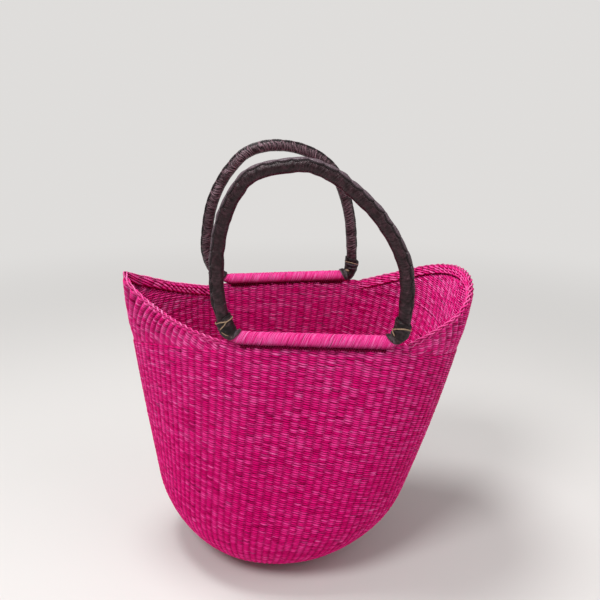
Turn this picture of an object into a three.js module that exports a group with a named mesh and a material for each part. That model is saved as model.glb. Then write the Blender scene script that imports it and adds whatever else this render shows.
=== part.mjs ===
// Bolga basket: a twined grass shopper with a teardrop mouth, two raised wings and two stiff
// hoop handles, covered in leather and lashed along the top edge of the wall.
// Millimetres, +Z up. The origin is the middle of the base on the floor, +X runs along the mouth
// from its pinched end to its round end, and -Y is the front.
import * as THREE from 'three';

const { lerp, smoothstep, clamp, degToRad } = THREE.MathUtils;

// Clearance between pieces that touch
const touchGap = 0.3;

// Woven body: base, wall and flare
const baseHalfLength = 144;
const baseHalfDepth = 151;
const baseCornerRadius = 100;
const wallThickness = 5;
const flareOverMouth = 65.5;
const flareExponent = 1.35;

// Mouth outline at the height of the wall's top edge
const leftTipReach = 188;
const leftTipShift = 4;
const rightTipReach = 244;
const rightTipShift = 7;
const frontLeftFlankX = -120;
const frontLeftFlankY = -80;
const rearLeftFlankX = -131;
const rearLeftFlankY = 74;
const frontRightShoulderX = 220;
const frontRightShoulderY = -94;
const rearRightShoulderX = 214;
const rearRightShoulderY = 107;

// Wings: the raised ends of the wall, worked in a bolder weave
const leftTipRise = 56.5;
const leftSweepExponent = 1.45;
const rightTipRise = 52;
const rightSweepExponent = 1.42;
const wingRootHeight = 8;
const wingLineDip = 33;
const leftLineExponent = 1.9;
const rightLineExponent = 1.3;
const lineTipRoundingShare = 0.06;
const wingSetback = 31;
const borderRadius = 3.5;

// Handle bars: the straight foot of each hoop, wound with grass. They stand on the wall's top edge,
// a little inside the depth of the base.
const barAxisHeight = 336;
const frontBarShift = 51;
const frontBarInset = 19;
const rearBarShift = 17;
const rearBarInset = 18;
const barLength = 173;
const barInnerShare = 0.4;
const barRadius = 8;
const barCoreRadius = 5.5;
const barWindingLoops = 24;
const barWindingGap = 0.6;
const lashingHeight = 3.5;
const lashingRadius = 1.1;
const lashingHalfWidth = 1.9;

// Handle arches: a straw core in a sewn leather sleeve
const gripRadius = 7.5;
const leatherThickness = 1.4;
const seamLipHeight = 1.6;
const seamLipAngle = 12;
const seamThreadRadius = 0.5;
const seamStitchLength = 15.5;
const seamStitchSwing = 7;
const seamThreadAngle = 47;
const frontArchBulge = 20.5;
const frontArchHeight = 194;
const rearArchBulge = 30;
const rearArchHeight = 191;

// Feet: a leather wrap around each corner of the hoop, bound with thread
const footLegLength = 35;
const footBarOverlap = 2;
const footBarSlant = 4.5;
const footFlareLength = 15;
const footLeatherThickness = 1.4;
const bindingThreadRadius = 0.6;
const bindingLoops = 3;
const bindingPlace = 24.5;
const bindingSlant = 4;
const bindingPitch = 3.2;
const bindingCrossShare = 0.75;
const bindingGap = 0.4;

// The two handles. Each arch is drawn as shares of its own half width and height, from the right
// foot over the top to the left foot, because both hoops are bent by hand.
const handles = [
  {
    name: 'front',
    outward: -1,
    barX: frontBarShift,
    barY: frontBarInset - baseHalfDepth,
    splay: 5,
    archHalfWidth: barLength / 2 + frontArchBulge,
    archHeight: frontArchHeight,
    archShares: [
      [0.872, 0.022], [0.924, 0.1], [0.945, 0.23], [0.92, 0.44], [0.8, 0.6], [0.65, 0.72], [0.5, 0.81],
      [0.35, 0.88], [0.18, 0.95], [-0.07, 1], [-0.26, 0.995], [-0.53, 0.965], [-0.67, 0.92],
      [-0.84, 0.79], [-0.94, 0.64], [-0.99, 0.48], [-1, 0.28], [-0.947, 0.11], [-0.878, 0.02],
    ],
  },
  {
    name: 'rear',
    outward: 1,
    barX: rearBarShift,
    barY: baseHalfDepth - rearBarInset,
    splay: 6.7,
    archHalfWidth: barLength / 2 + rearArchBulge,
    archHeight: rearArchHeight,
    archShares: [
      [0.8, 0.022], [0.827, 0.1], [0.822, 0.22], [0.788, 0.46], [0.711, 0.64], [0.586, 0.8], [0.394, 0.91],
      [0.163, 0.975], [-0.077, 1], [-0.26, 0.995], [-0.481, 0.95], [-0.673, 0.84], [-0.827, 0.7],
      [-0.923, 0.56], [-0.969, 0.43], [-0.99, 0.33], [-1, 0.25], [-0.983, 0.17], [-0.942, 0.095],
      [-0.87, 0.04], [-0.803, 0.014],
    ],
  },
];

// Turns from the middle of the seam's lip to its crest and its foot, seen along the sleeve
const lipCrestTurn = degToRad(10);
const lipFootTurn = degToRad(22);

// How finely the surfaces are drawn
const cornerRows = 5;
const wallRows = 5;
const wingRows = 3;
const leftWingSteps = 16;
const rightWingSteps = 12;
const barEdgeSteps = 9;
const archSteps = 26;
const footFlareRows = 3;
const footLegRows = 3;
const coreSides = 8;
const sleeveFlats = 8;
const ringSides = 10;
const borderSides = 6;
const bindingSides = 5;
const loopSteps = 12;
const barLoopSteps = 8;
const lashingSides = 4;
const lashingTurns = 18;
const lashingTurnSteps = 3;
const seamSides = 4;
const stitchSteps = 3;

// Sizes that follow
const barHalf = barLength / 2;
const wallTopHeight = barAxisHeight - barRadius - lashingHeight;
const flareHeight = wallTopHeight + flareOverMouth;
const sleeveFlatTurn = (2 * Math.PI - 2 * lipFootTurn) / sleeveFlats;
const gripCoreRadius = (gripRadius - leatherThickness) * Math.cos(sleeveFlatTurn / 2) - touchGap;
const footRadius = clearRadius(gripRadius, ringSides) + footLeatherThickness;
const footBarRadius = clearRadius(barRadius, ringSides) + footLeatherThickness;

// The radius of a ring of flat-sided facets that stays clear of a round piece inside it
function clearRadius(radius, sides) {
  return (radius + touchGap) / Math.cos(Math.PI / sides);
}

// Colours
const pinkGrass = { color: 0xb61a60, roughness: 0.6, metalness: 0 };
const brightGrass = { color: 0xe2307f, roughness: 0.55, metalness: 0 };
const straw = { color: 0xc9a86a, roughness: 0.8, metalness: 0 };
const brownLeather = { color: 0x4b3237, roughness: 0.45, metalness: 0 };
const darkLeather = { color: 0x3a3030, roughness: 0.55, metalness: 0 };
const darkThread = { color: 0x2a1c1e, roughness: 0.7, metalness: 0 };
const tanThread = { color: 0xa98a6a, roughness: 0.7, metalness: 0 };

const basket = new THREE.Group();

function addPiece(parent, name, geometry, finish) {
  const mesh = new THREE.Mesh(geometry, new THREE.MeshStandardMaterial(finish));
  mesh.name = name;
  parent.add(mesh);
}

// One closed body through rings of points: its ends are closed by caps, or meet in a loop
function skin(rings, closedLoop = false) {
  const sides = rings[0].length;
  const points = rings.flat();
  const faces = [];
  const spans = closedLoop ? rings.length : rings.length - 1;
  for (let row = 0; row < spans; row += 1) {
    const here = row * sides;
    const next = ((row + 1) % rings.length) * sides;
    for (let side = 0; side < sides; side += 1) {
      const turn = (side + 1) % sides;
      faces.push([here + side, here + turn, next + turn], [here + side, next + turn, next + side]);
    }
  }
  if (!closedLoop) {
    for (const [start, flip] of [[0, true], [(rings.length - 1) * sides, false]]) {
      const centre = new THREE.Vector3();
      for (let side = 0; side < sides; side += 1) centre.addScaledVector(points[start + side], 1 / sides);
      points.push(centre);
      for (let side = 0; side < sides; side += 1) {
        const edge = [start + side, start + ((side + 1) % sides)];
        if (flip) edge.reverse();
        faces.push([...edge, points.length - 1]);
      }
    }
  }
  const volume = faces.reduce((sum, [a, b, c]) => (
    sum + points[a].dot(new THREE.Vector3().crossVectors(points[b], points[c]))), 0);
  if (volume < 0) faces.forEach((face) => face.reverse());
  const geometry = new THREE.BufferGeometry().setFromPoints(points);
  geometry.setIndex(faces.flat());
  geometry.computeVertexNormals();
  return geometry;
}

// A round tube along a smooth line
function tube(points, radius, sides, steps) {
  const section = new THREE.Shape();
  for (let side = 0; side < sides; side += 1) {
    const turn = (2 * Math.PI * side) / sides;
    const corner = [radius * Math.cos(turn), radius * Math.sin(turn)];
    if (side) section.lineTo(...corner);
    else section.moveTo(...corner);
  }
  return new THREE.ExtrudeGeometry(section, {
    steps,
    bevelEnabled: false,
    extrudePath: new THREE.CatmullRomCurve3(points),
  });
}

// The mouth's outline, counter-clockwise from its round right end, with the share of its length
// at which the tips and the ends of the bars lie
function barPoint(handle, along) {
  const turn = degToRad(handle.splay) * handle.outward;
  return new THREE.Vector3(
    handle.barX + along * Math.cos(turn), handle.barY + along * Math.sin(turn), 0);
}

const [front, rear] = handles;
const barShares = [1, barInnerShare, -barInnerShare, -1];
const mouth = new THREE.CatmullRomCurve3([
  new THREE.Vector3(rightTipReach, rightTipShift, 0),
  new THREE.Vector3(rearRightShoulderX, rearRightShoulderY, 0),
  ...barShares.map((share) => barPoint(rear, share * barHalf)),
  new THREE.Vector3(rearLeftFlankX, rearLeftFlankY, 0),
  new THREE.Vector3(-leftTipReach, leftTipShift, 0),
  new THREE.Vector3(frontLeftFlankX, frontLeftFlankY, 0),
  ...barShares.map((share) => barPoint(front, -share * barHalf)),
  new THREE.Vector3(frontRightShoulderX, frontRightShoulderY, 0),
], true, 'centripetal');
const spanDivisions = 40;
mouth.arcLengthDivisions = mouth.points.length * spanDivisions;
const mouthLengths = mouth.getLengths();
const mouthLength = mouthLengths[mouthLengths.length - 1];
const shareAtPoint = (index) => mouthLengths[index * spanDivisions] / mouthLength;
const rearRightEnd = shareAtPoint(2);
const rearLeftEnd = shareAtPoint(5);
const leftTip = shareAtPoint(7);
const frontLeftEnd = shareAtPoint(9);
const frontRightEnd = shareAtPoint(12);
const wingSetbackShare = wingSetback / mouthLength;
const gapShare = touchGap / mouthLength;

// How far along its wing a place on the mouth lies, from 0 at the bar's end to 1 at the tip
function towardTip(place) {
  const around = ((place % 1) + 1) % 1;
  if (around <= rearRightEnd) return { left: false, share: 1 - around / rearRightEnd };
  if (around < rearLeftEnd) return { left: true, share: 0 };
  if (around <= leftTip) return { left: true, share: (around - rearLeftEnd) / (leftTip - rearLeftEnd) };
  if (around <= frontLeftEnd) {
    return { left: true, share: 1 - (around - leftTip) / (frontLeftEnd - leftTip) };
  }
  if (around < frontRightEnd) return { left: false, share: 0 };
  return { left: false, share: (around - frontRightEnd) / (1 - frontRightEnd) };
}

function wingTopHeight(place) {
  const { left, share } = towardTip(place);
  if (left) return wallTopHeight + leftTipRise * share ** leftSweepExponent;
  const sweep = Math.sin((Math.PI / 2) * share) ** rightSweepExponent;
  return wallTopHeight + rightTipRise * sweep;
}

function wingLineHeight(place) {
  const { left, share } = towardTip(place);
  const run = Math.max(1 - Math.hypot(1 - share, lineTipRoundingShare), 0);
  return wallTopHeight - wingRootHeight - wingLineDip * run ** (left ? leftLineExponent : rightLineExponent);
}

// A point on the body's outer face above a place on the mouth. The plan grows from the base's
// ellipse to the mouth, and the lower edge is rounded.
function facePoint(place, height) {
  const flare = 1 - (1 - clamp(height / flareHeight, 0, 1)) ** flareExponent;
  const mouthFlare = 1 - (1 - wallTopHeight / flareHeight) ** flareExponent;
  const around = ((place % 1) + 1) % 1;
  const turn = 2 * Math.PI * around;
  const point = new THREE.Vector3(baseHalfLength * Math.cos(turn), baseHalfDepth * Math.sin(turn), 0);
  point.lerp(mouth.getPointAt(around), flare / mouthFlare);
  const rise = clamp(1 - height / baseCornerRadius, 0, 1);
  const inset = baseCornerRadius * (1 - Math.sqrt(1 - rise ** 2));
  point.multiplyScalar(1 - inset / point.length());
  point.z = height;
  return point;
}

// The point that lies under the outer face by a depth, square to a face given as at(place, share)
function faceDepth(at, place, share, depth) {
  const step = 1e-4;
  const along = at(place + step, share).sub(at(place - step, share));
  const up = at(place, Math.min(share + step, 1)).sub(at(place, Math.max(share - step, 0)));
  const outward = along.cross(up).normalize();
  return at(place, share).addScaledVector(outward, -depth);
}

// Places around the mouth, grouped by wing and bar. The wings start past the feet of the handles.
function spread(start, end, steps) {
  return Array.from({ length: steps + 1 }, (_, index) => lerp(start, end, index / steps));
}

const rightWingPlaces = spread(
  frontRightEnd + wingSetbackShare - 1, rearRightEnd - wingSetbackShare, rightWingSteps);
const leftWingPlaces = spread(
  rearLeftEnd + wingSetbackShare, frontLeftEnd - wingSetbackShare, leftWingSteps);
const rearEdgePlaces = spread(
  rightWingPlaces[rightWingSteps] + 2 * gapShare, leftWingPlaces[0] - 2 * gapShare, barEdgeSteps);
const frontEdgePlaces = spread(
  leftWingPlaces[leftWingSteps] + 2 * gapShare, rightWingPlaces[0] + 1 - 2 * gapShare, barEdgeSteps);
const wingColumns = (places) => {
  const seat = [places[0] - gapShare, ...places.slice(1, -1), places[places.length - 1] + gapShare];
  return seat.map((place) => ({ place, top: wingLineHeight(place) }));
};
const bodyColumns = [
  ...wingColumns(rightWingPlaces),
  ...rearEdgePlaces.map((place) => ({ place, top: wallTopHeight })),
  ...wingColumns(leftWingPlaces),
  ...frontEdgePlaces.map((place) => ({ place, top: wallTopHeight })),
];

function wovenBody() {
  const cornerShare = cornerRows / (cornerRows + wallRows);
  const columnFace = (top) => (place, share) => {
    const turn = (Math.PI / 2) * Math.min(share / cornerShare, 1);
    const climb = Math.max((share - cornerShare) / (1 - cornerShare), 0);
    const height = baseCornerRadius * (1 - Math.cos(turn)) + climb * (top - baseCornerRadius);
    return facePoint(place, height);
  };
  const shares = spread(0, 1, cornerRows + wallRows);
  const ring = (share, depth) => bodyColumns.map(({ place, top }) => {
    const point = faceDepth(columnFace(top), place, share, depth);
    if (share === 1) point.z = top;
    if (share === 0) point.z = depth;
    return point;
  });
  const outer = shares.map((share) => ring(share, 0));
  const inner = shares.map((share) => ring(share, wallThickness)).reverse();
  return skin([...outer, ...inner]);
}

// A wing is one solid between the line where the weave changes and its curved top edge
function wingFace(place, share) {
  return facePoint(place, lerp(wingLineHeight(place) + touchGap, wingTopHeight(place), share));
}

function wing(places) {
  const shares = spread(0, 1, wingRows);
  const height = (place, share) => wingFace(place, share).z;
  return skin(places.map((place) => {
    const outer = shares.map((share) => wingFace(place, share));
    const inner = shares.map((share) => {
      const point = faceDepth(wingFace, place, share, wallThickness);
      point.z = height(place, share);
      return point;
    });
    return [...outer, ...inner.reverse()];
  }));
}

// The plaited border lies on a wing's top edge, square to the edge's slope
function border(places) {
  const edge = places.map((place) => (
    faceDepth(wingFace, place, 1, wallThickness / 2).setZ(wingTopHeight(place))));
  const line = edge.map((point, index) => {
    const ahead = edge[Math.min(index + 1, edge.length - 1)];
    const behind = edge[Math.max(index - 1, 0)];
    const along = ahead.clone().sub(behind).normalize();
    const lift = new THREE.Vector3(0, 0, 1);
    lift.addScaledVector(along, -lift.dot(along)).normalize();
    return point.clone().addScaledVector(lift, borderRadius + touchGap);
  });
  return tube(line, borderRadius, borderSides, places.length * 2);
}

// The centre line of a hoop's arch in the handle's own plane, X along the bar and Z up
function archLine(handle) {
  const arch = handle.archShares.map(([across, up]) => (
    new THREE.Vector3(across * handle.archHalfWidth, 0, up * handle.archHeight)));
  const line = new THREE.CatmullRomCurve3([
    new THREE.Vector3(barHalf, 0, 0), ...arch, new THREE.Vector3(-barHalf, 0, 0)]);
  line.arcLengthDivisions = arch.length * spanDivisions;
  return line;
}

// A place on the arch: its centre and the directions out of the hoop, across it and along it
function archFrame(line, distance) {
  const share = clamp(distance / line.getLength(), 0, 1);
  const centre = line.getPointAt(share);
  const along = line.getTangentAt(share);
  const beyond = distance - share * line.getLength();
  if (share === 0 || share === 1) along.set(1, 0, 0);
  centre.addScaledVector(along, beyond);
  const across = new THREE.Vector3(0, 1, 0);
  const out = new THREE.Vector3().crossVectors(across, along);
  return { centre, out, across, along };
}

function ringPoint({ centre, out, across, along }, turn, radius, slide = 0) {
  return centre.clone()
    .addScaledVector(out, radius * Math.cos(turn))
    .addScaledVector(across, radius * Math.sin(turn))
    .addScaledVector(along, slide);
}

const roundTurns = (sides) => Array.from({ length: sides }, (_, side) => (2 * Math.PI * side) / sides);

// Distance from the nearer end of the arch
const fromFoot = (line, distance) => Math.min(distance, line.getLength() - distance);

// The places along the arch at which its layers are drawn, the same for each of them
const footPlaces = [
  ...spread(0, footFlareLength, footFlareRows),
  ...spread(footFlareLength, footLegLength, footLegRows).slice(1),
];

function archPlaces(line) {
  const length = line.getLength();
  const grip = spread(footLegLength, length - footLegLength, archSteps).slice(1, -1);
  return [...footPlaces, ...grip, ...footPlaces.map((distance) => length - distance).reverse()];
}

function handleCore(line) {
  return skin(archPlaces(line).map((distance) => {
    const swell = smoothstep(fromFoot(line, distance), 0, footLegLength);
    const radius = lerp(barCoreRadius, gripCoreRadius, swell);
    return roundTurns(coreSides).map((turn) => ringPoint(archFrame(line, distance), turn, radius));
  }), true);
}

// The sleeve's cut edges meet in a raised lip along the outside of the arch
function handleSleeve(line, handle) {
  const lipTurn = degToRad(seamLipAngle) * handle.outward;
  const plainTurns = spread(lipFootTurn, 2 * Math.PI - lipFootTurn, sleeveFlats).slice(1, -1);
  const sleeveStart = footFlareLength - touchGap;
  const places = archPlaces(line).filter((distance) => fromFoot(line, distance) > sleeveStart);
  const section = [
    { turn: -lipFootTurn, lip: 0 },
    { turn: -lipCrestTurn, lip: 1 },
    { turn: lipCrestTurn, lip: 1 },
    { turn: lipFootTurn, lip: 0 },
    ...plainTurns.map((turn) => ({ turn, lip: 0 })),
  ];
  const rows = places.map((distance) => {
    const frame = archFrame(line, distance);
    const lipRise = seamLipHeight * smoothstep(
      fromFoot(line, distance), footLegLength + seamLipHeight, footLegLength + footFlareLength);
    const ring = (base, height) => section.map(({ turn, lip }) => (
      ringPoint(frame, lipTurn + turn, base + lip * height)));
    return { outer: ring(gripRadius, lipRise), inner: ring(gripRadius - leatherThickness, 0) };
  });
  return skin([...rows.map((row) => row.outer), ...rows.map((row) => row.inner).reverse()], true);
}

// The sewing thread swings to and fro beside the lip
function seamThread(line, handle) {
  const start = footLegLength + footFlareLength;
  const length = line.getLength() - 2 * start;
  const stitches = Math.round(length / seamStitchLength);
  const seat = gripRadius + touchGap + seamThreadRadius;
  const points = spread(0, 1, stitches * stitchSteps).map((share) => {
    const swing = degToRad(seamStitchSwing) * Math.sin(2 * Math.PI * stitches * share);
    const turn = (degToRad(seamThreadAngle) + swing) * handle.outward;
    return ringPoint(archFrame(line, start + share * length), turn, seat);
  });
  return tube(points, seamThreadRadius, seamSides, stitches * stitchSteps);
}

// A foot's leather goes round the hoop's corner, from the leg to the bar's end. The distance runs
// along the arch from the bar, so it is below zero on the bar itself.
function footOuterRadius(distance) {
  return lerp(footBarRadius, footRadius, smoothstep(distance, 0, footFlareLength));
}

function footWrap(line, atStart) {
  const length = line.getLength();
  const place = (distance) => (atStart ? distance : length - distance);
  const along = atStart ? 1 : -1;
  const distances = [-footBarOverlap, ...footPlaces];
  const rows = distances.map((distance) => {
    const frame = archFrame(line, place(distance));
    const slant = footBarSlant * (1 - smoothstep(distance, -footBarOverlap, footFlareLength));
    const ring = (radius) => roundTurns(ringSides).map((turn) => (
      ringPoint(frame, turn, radius, along * slant * Math.cos(turn))));
    const outer = footOuterRadius(distance);
    return { outer: ring(outer), inner: ring(outer - footLeatherThickness) };
  });
  return skin([...rows.map((row) => row.outer), ...rows.map((row) => row.inner).reverse()], true);
}

// A winding is one unbroken tube: rings of points square to its path. Its section is a list of
// corners, each with a length across the winding and one away from its axis.
function windingRings(centres, outward, section) {
  return centres.map((centre, index) => {
    const ahead = centres[Math.min(index + 1, centres.length - 1)];
    const behind = centres[Math.max(index - 1, 0)];
    const along = ahead.clone().sub(behind).normalize();
    const out = outward[index].clone().addScaledVector(along, -outward[index].dot(along)).normalize();
    const wide = new THREE.Vector3().crossVectors(along, out);
    return section.map(([width, rise]) => (
      centre.clone().addScaledVector(wide, width).addScaledVector(out, rise)));
  });
}

// The least distance between points on different loops of one winding
function leastGap(rings, stepsInLoop) {
  let least = Infinity;
  rings.forEach((ring, index) => {
    rings.slice(index + Math.ceil(stepsInLoop / 2)).flat().forEach((other) => {
      ring.forEach((point) => { least = Math.min(least, point.distanceTo(other)); });
    });
  });
  return least;
}

// Grass strands wound round the bar, drawn as one flat band
function barWinding(handle) {
  const innerRadius = clearRadius(barCoreRadius, barLoopSteps);
  const halfThickness = (barRadius - innerRadius) / 2;
  const seat = innerRadius + halfThickness;
  const pitch = (barLength - footBarOverlap) / (barWindingLoops + 1);
  const halfWidth = (pitch - barWindingGap) / 2;
  const steps = barWindingLoops * barLoopSteps;
  const outward = [];
  const centres = spread(0, 1, steps).map((share) => {
    const turn = 2 * Math.PI * barWindingLoops * share;
    outward.push(new THREE.Vector3(0, Math.cos(turn), Math.sin(turn)));
    const x = (share - 1 / 2) * pitch * barWindingLoops;
    return new THREE.Vector3(x, 0, 0).addScaledVector(outward[outward.length - 1], seat);
  });
  const corners = [[-1, -1], [1, -1], [1, 1], [-1, 1]];
  const rings = windingRings(
    centres, outward, corners.map(([width, rise]) => [width * halfWidth, rise * halfThickness]));
  console.log(`${handle.name} bar winding: least gap ${leastGap(rings, barLoopSteps).toFixed(2)} mm`);
  return skin(rings);
}

// The thread round a foot: its last loop slants the other way and crosses over the first ones
function footBinding(line, atStart, name) {
  const length = line.getLength();
  const steps = bindingLoops * loopSteps;
  const seat = clearRadius(footRadius, loopSteps) + bindingThreadRadius;
  const crossLoop = bindingLoops - 2 + bindingCrossShare;
  const rampShare = (1 - bindingCrossShare) / 2;
  const crossing = 2 * bindingThreadRadius / Math.cos(Math.PI / loopSteps) + bindingGap;
  const outward = [];
  const centres = spread(0, bindingLoops, steps).map((loop) => {
    const turn = 2 * Math.PI * loop;
    const lift = smoothstep(loop, crossLoop - 3 * rampShare, crossLoop - rampShare);
    const over = smoothstep(loop, crossLoop - rampShare, crossLoop + rampShare);
    const slant = bindingSlant * Math.cos(turn) * (1 - 2 * over);
    const distance = bindingPlace + slant + bindingPitch * (loop - bindingLoops / 2);
    const frame = archFrame(line, atStart ? distance : length - distance);
    outward.push(ringPoint(frame, turn, 1).sub(frame.centre));
    return ringPoint(frame, turn, seat + crossing * lift);
  });
  const rings = windingRings(centres, outward, roundTurns(bindingSides).map((turn) => (
    [bindingThreadRadius * Math.cos(turn), bindingThreadRadius * Math.sin(turn)])));
  console.log(`${name}: least gap ${leastGap(rings, loopSteps).toFixed(2)} mm`);
  return skin(rings);
}

// The lashing runs in a flat spiral between the wall's top edge and the bar
function barLashing() {
  const seatHeight = wallTopHeight - barAxisHeight + touchGap + lashingRadius;
  const swing = (lashingHeight - 2 * touchGap - 2 * lashingRadius) / 2;
  const reach = barHalf - footBarOverlap - footBarSlant - 2 * lashingRadius;
  const steps = lashingTurns * lashingTurnSteps;
  const points = spread(0, 1, steps).map((share) => {
    const turn = 2 * Math.PI * lashingTurns * share;
    const height = seatHeight + swing * (1 + Math.sin(turn));
    return new THREE.Vector3(lerp(-reach, reach, share), lashingHalfWidth * Math.cos(turn), height);
  });
  return tube(points, lashingRadius, lashingSides, steps);
}

addPiece(basket, 'woven_body', wovenBody(), pinkGrass);
addPiece(basket, 'left_wing', wing(leftWingPlaces), pinkGrass);
addPiece(basket, 'right_wing', wing(rightWingPlaces), pinkGrass);
addPiece(basket, 'left_rim_border', border(leftWingPlaces), brightGrass);
addPiece(basket, 'right_rim_border', border(rightWingPlaces), brightGrass);

for (const handle of handles) {
  const hoop = new THREE.Group();
  hoop.position.set(handle.barX, handle.barY, barAxisHeight);
  hoop.rotation.z = degToRad(handle.splay) * handle.outward;
  basket.add(hoop);
  const line = archLine(handle);
  const { name } = handle;
  addPiece(hoop, `${name}_handle_core`, handleCore(line), straw);
  addPiece(hoop, `${name}_bar_winding`, barWinding(handle), brightGrass);
  addPiece(hoop, `${name}_bar_lashing`, barLashing(), pinkGrass);
  addPiece(hoop, `${name}_handle_sleeve`, handleSleeve(line, handle), brownLeather);
  addPiece(hoop, `${name}_seam_thread`, seamThread(line, handle), darkThread);
  for (const [side, atStart] of [['left', false], ['right', true]]) {
    addPiece(hoop, `${name}_${side}_foot_wrap`, footWrap(line, atStart), darkLeather);
    const binding = `${name}_${side}_foot_binding`;
    addPiece(hoop, binding, footBinding(line, atStart, binding), tanThread);
  }
}

export default basket;
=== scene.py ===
import math

import bpy
import numpy as np
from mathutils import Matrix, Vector


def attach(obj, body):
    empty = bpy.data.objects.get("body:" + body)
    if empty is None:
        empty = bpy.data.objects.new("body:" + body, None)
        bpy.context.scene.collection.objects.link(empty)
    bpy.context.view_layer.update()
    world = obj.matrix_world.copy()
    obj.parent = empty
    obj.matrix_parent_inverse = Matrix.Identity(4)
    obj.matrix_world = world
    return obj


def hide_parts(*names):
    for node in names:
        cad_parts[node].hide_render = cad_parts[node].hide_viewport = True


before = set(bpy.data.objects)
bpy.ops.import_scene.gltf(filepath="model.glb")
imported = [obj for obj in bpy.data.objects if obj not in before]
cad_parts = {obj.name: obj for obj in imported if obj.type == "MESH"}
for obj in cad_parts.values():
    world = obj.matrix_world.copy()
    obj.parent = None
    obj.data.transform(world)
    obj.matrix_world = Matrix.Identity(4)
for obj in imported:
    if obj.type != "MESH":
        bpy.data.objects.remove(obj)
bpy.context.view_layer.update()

MM = 0.001


def mm(*lengths):
    return [length * MM for length in lengths]


# Woven wall, as the solids have it
BASE_HALF_LENGTH = 144 * MM
BASE_HALF_DEPTH = 151 * MM
BASE_CORNER_RADIUS = 100 * MM
FLARE_HEIGHT = 390 * MM
FLARE_EXPONENT = 1.35
WALL_DEPTH = 2.5 * MM
FACE_DEPTH = 1.6 * MM

# Mouth outline, counter-clockwise from the right tip, apart from the bars
RIGHT_TIP = mm(244, 7)
REAR_RIGHT_SHOULDER = mm(214, 107)
REAR_LEFT_FLANK = mm(-131, 74)
LEFT_TIP = mm(-188, 4)
FRONT_LEFT_FLANK = mm(-120, -80)
FRONT_RIGHT_SHOULDER = mm(220, -94)

# Wings
LEFT_TIP_HEIGHT = 378 * MM
LEFT_SWEEP_EXPONENT = 1.45
RIGHT_TIP_HEIGHT = 376.5 * MM
RIGHT_SWEEP_EXPONENT = 1.42
WING_ROOT_HEIGHT = 8 * MM
WING_LINE_DIP = 33 * MM
LEFT_LINE_EXPONENT = 1.9
RIGHT_LINE_EXPONENT = 1.3
LINE_TIP_ROUNDING = 0.06
WING_SETBACK = 20 * MM
RIM_SETBACK_LENGTH = 22 * MM

# Bars and hoops
BAR_HEIGHT = 336 * MM
BAR_LENGTH = 173 * MM
BAR_INNER_SHARE = 0.4
BAR_RADIUS = 8 * MM
LASHING_HEIGHT = 3.5 * MM
WALL_TOP = BAR_HEIGHT - BAR_RADIUS - LASHING_HEIGHT
GRIP_RADIUS = 7.5 * MM
FOOT_LEG_LENGTH = 31 * MM
FOOT_FLARE_LENGTH = 15 * MM
FOOT_LEATHER = 1.4 * MM
FOOT_GAP = 0.7 * MM
HOOPS = {
    "front": {
        "outward": -1, "bar": mm(51, -132), "splay": math.radians(5),
        "half_width": 107 * MM, "height": 194 * MM,
        "arch_shares": [
            (0.872, 0.022), (0.924, 0.1), (0.945, 0.23), (0.92, 0.44), (0.8, 0.6), (0.65, 0.72), (0.5, 0.81),
            (0.35, 0.88), (0.18, 0.95), (-0.07, 1), (-0.26, 0.995), (-0.53, 0.965), (-0.67, 0.92),
            (-0.84, 0.79), (-0.94, 0.64), (-0.99, 0.48), (-1, 0.28), (-0.947, 0.11), (-0.878, 0.02)],
    },
    "rear": {
        "outward": 1, "bar": mm(17, 133), "splay": math.radians(6.7),
        "half_width": 116.5 * MM, "height": 191 * MM,
        "arch_shares": [
            (0.8, 0.022), (0.827, 0.1), (0.822, 0.22), (0.788, 0.46), (0.711, 0.64), (0.586, 0.8),
            (0.394, 0.91), (0.163, 0.975), (-0.077, 1), (-0.26, 0.995), (-0.481, 0.95), (-0.673, 0.84),
            (-0.827, 0.7), (-0.923, 0.56), (-0.969, 0.43), (-0.99, 0.33), (-1, 0.25), (-0.983, 0.17),
            (-0.942, 0.095), (-0.87, 0.04), (-0.803, 0.014)],
    },
}

# Weave: stakes run up the wall, and pairs of grass strands twine round them in rows
STAKES = 108
ROW_PITCH = 2.8 * MM
PANEL_FACES = 95000
PLACE_STEP = 1e-4


def unit(vectors):
    return vectors / np.maximum(np.linalg.norm(vectors, axis=-1, keepdims=True), 1e-12)


def smoothstep(value, low, high):
    share = np.clip((value - low) / (high - low), 0, 1)
    return share * share * (3 - 2 * share)


def blend(first, second, share):
    return first + (second - first) * share


class Line:
    """A centripetal curve through points, measured along its length"""

    def __init__(self, points, closed=False, steps=60):
        points = np.array(points, float)
        if closed:
            before, here, ahead, beyond = (np.roll(points, shift, axis=0) for shift in (1, 0, -1, -2))
        else:
            ends = np.vstack([2 * points[0] - points[1], points, 2 * points[-1] - points[-2]])
            before, here, ahead, beyond = ends[:-3], ends[1:-2], ends[2:-1], ends[3:]
        spans = [np.sqrt(np.linalg.norm(end - start, axis=1, keepdims=True))
                 for start, end in ((before, here), (here, ahead), (ahead, beyond))]
        leave = ((here - before) / spans[0] - (ahead - before) / (spans[0] + spans[1])
                 + (ahead - here) / spans[1]) * spans[1]
        arrive = ((ahead - here) / spans[1] - (beyond - here) / (spans[1] + spans[2])
                  + (beyond - ahead) / spans[2]) * spans[1]
        share = (np.arange(steps) / steps)[None, :, None]
        here, ahead, leave, arrive = (rows[:, None] for rows in (here, ahead, leave, arrive))
        curve = (here + leave * share + (3 * (ahead - here) - 2 * leave - arrive) * share ** 2
                 + (2 * (here - ahead) + leave + arrive) * share ** 3).reshape(-1, points.shape[1])
        self.points = np.vstack([curve, points[:1] if closed else points[-1:]])
        gaps = np.linalg.norm(np.diff(self.points, axis=0), axis=1)
        self.distances = np.concatenate([[0], np.cumsum(gaps)])
        self.length = self.distances[-1]
        self.steps = steps

    def at(self, distance):
        return np.stack([np.interp(distance, self.distances, column) for column in self.points.T], axis=-1)

    def share_of_point(self, index):
        return self.distances[index * self.steps] / self.length


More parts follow.
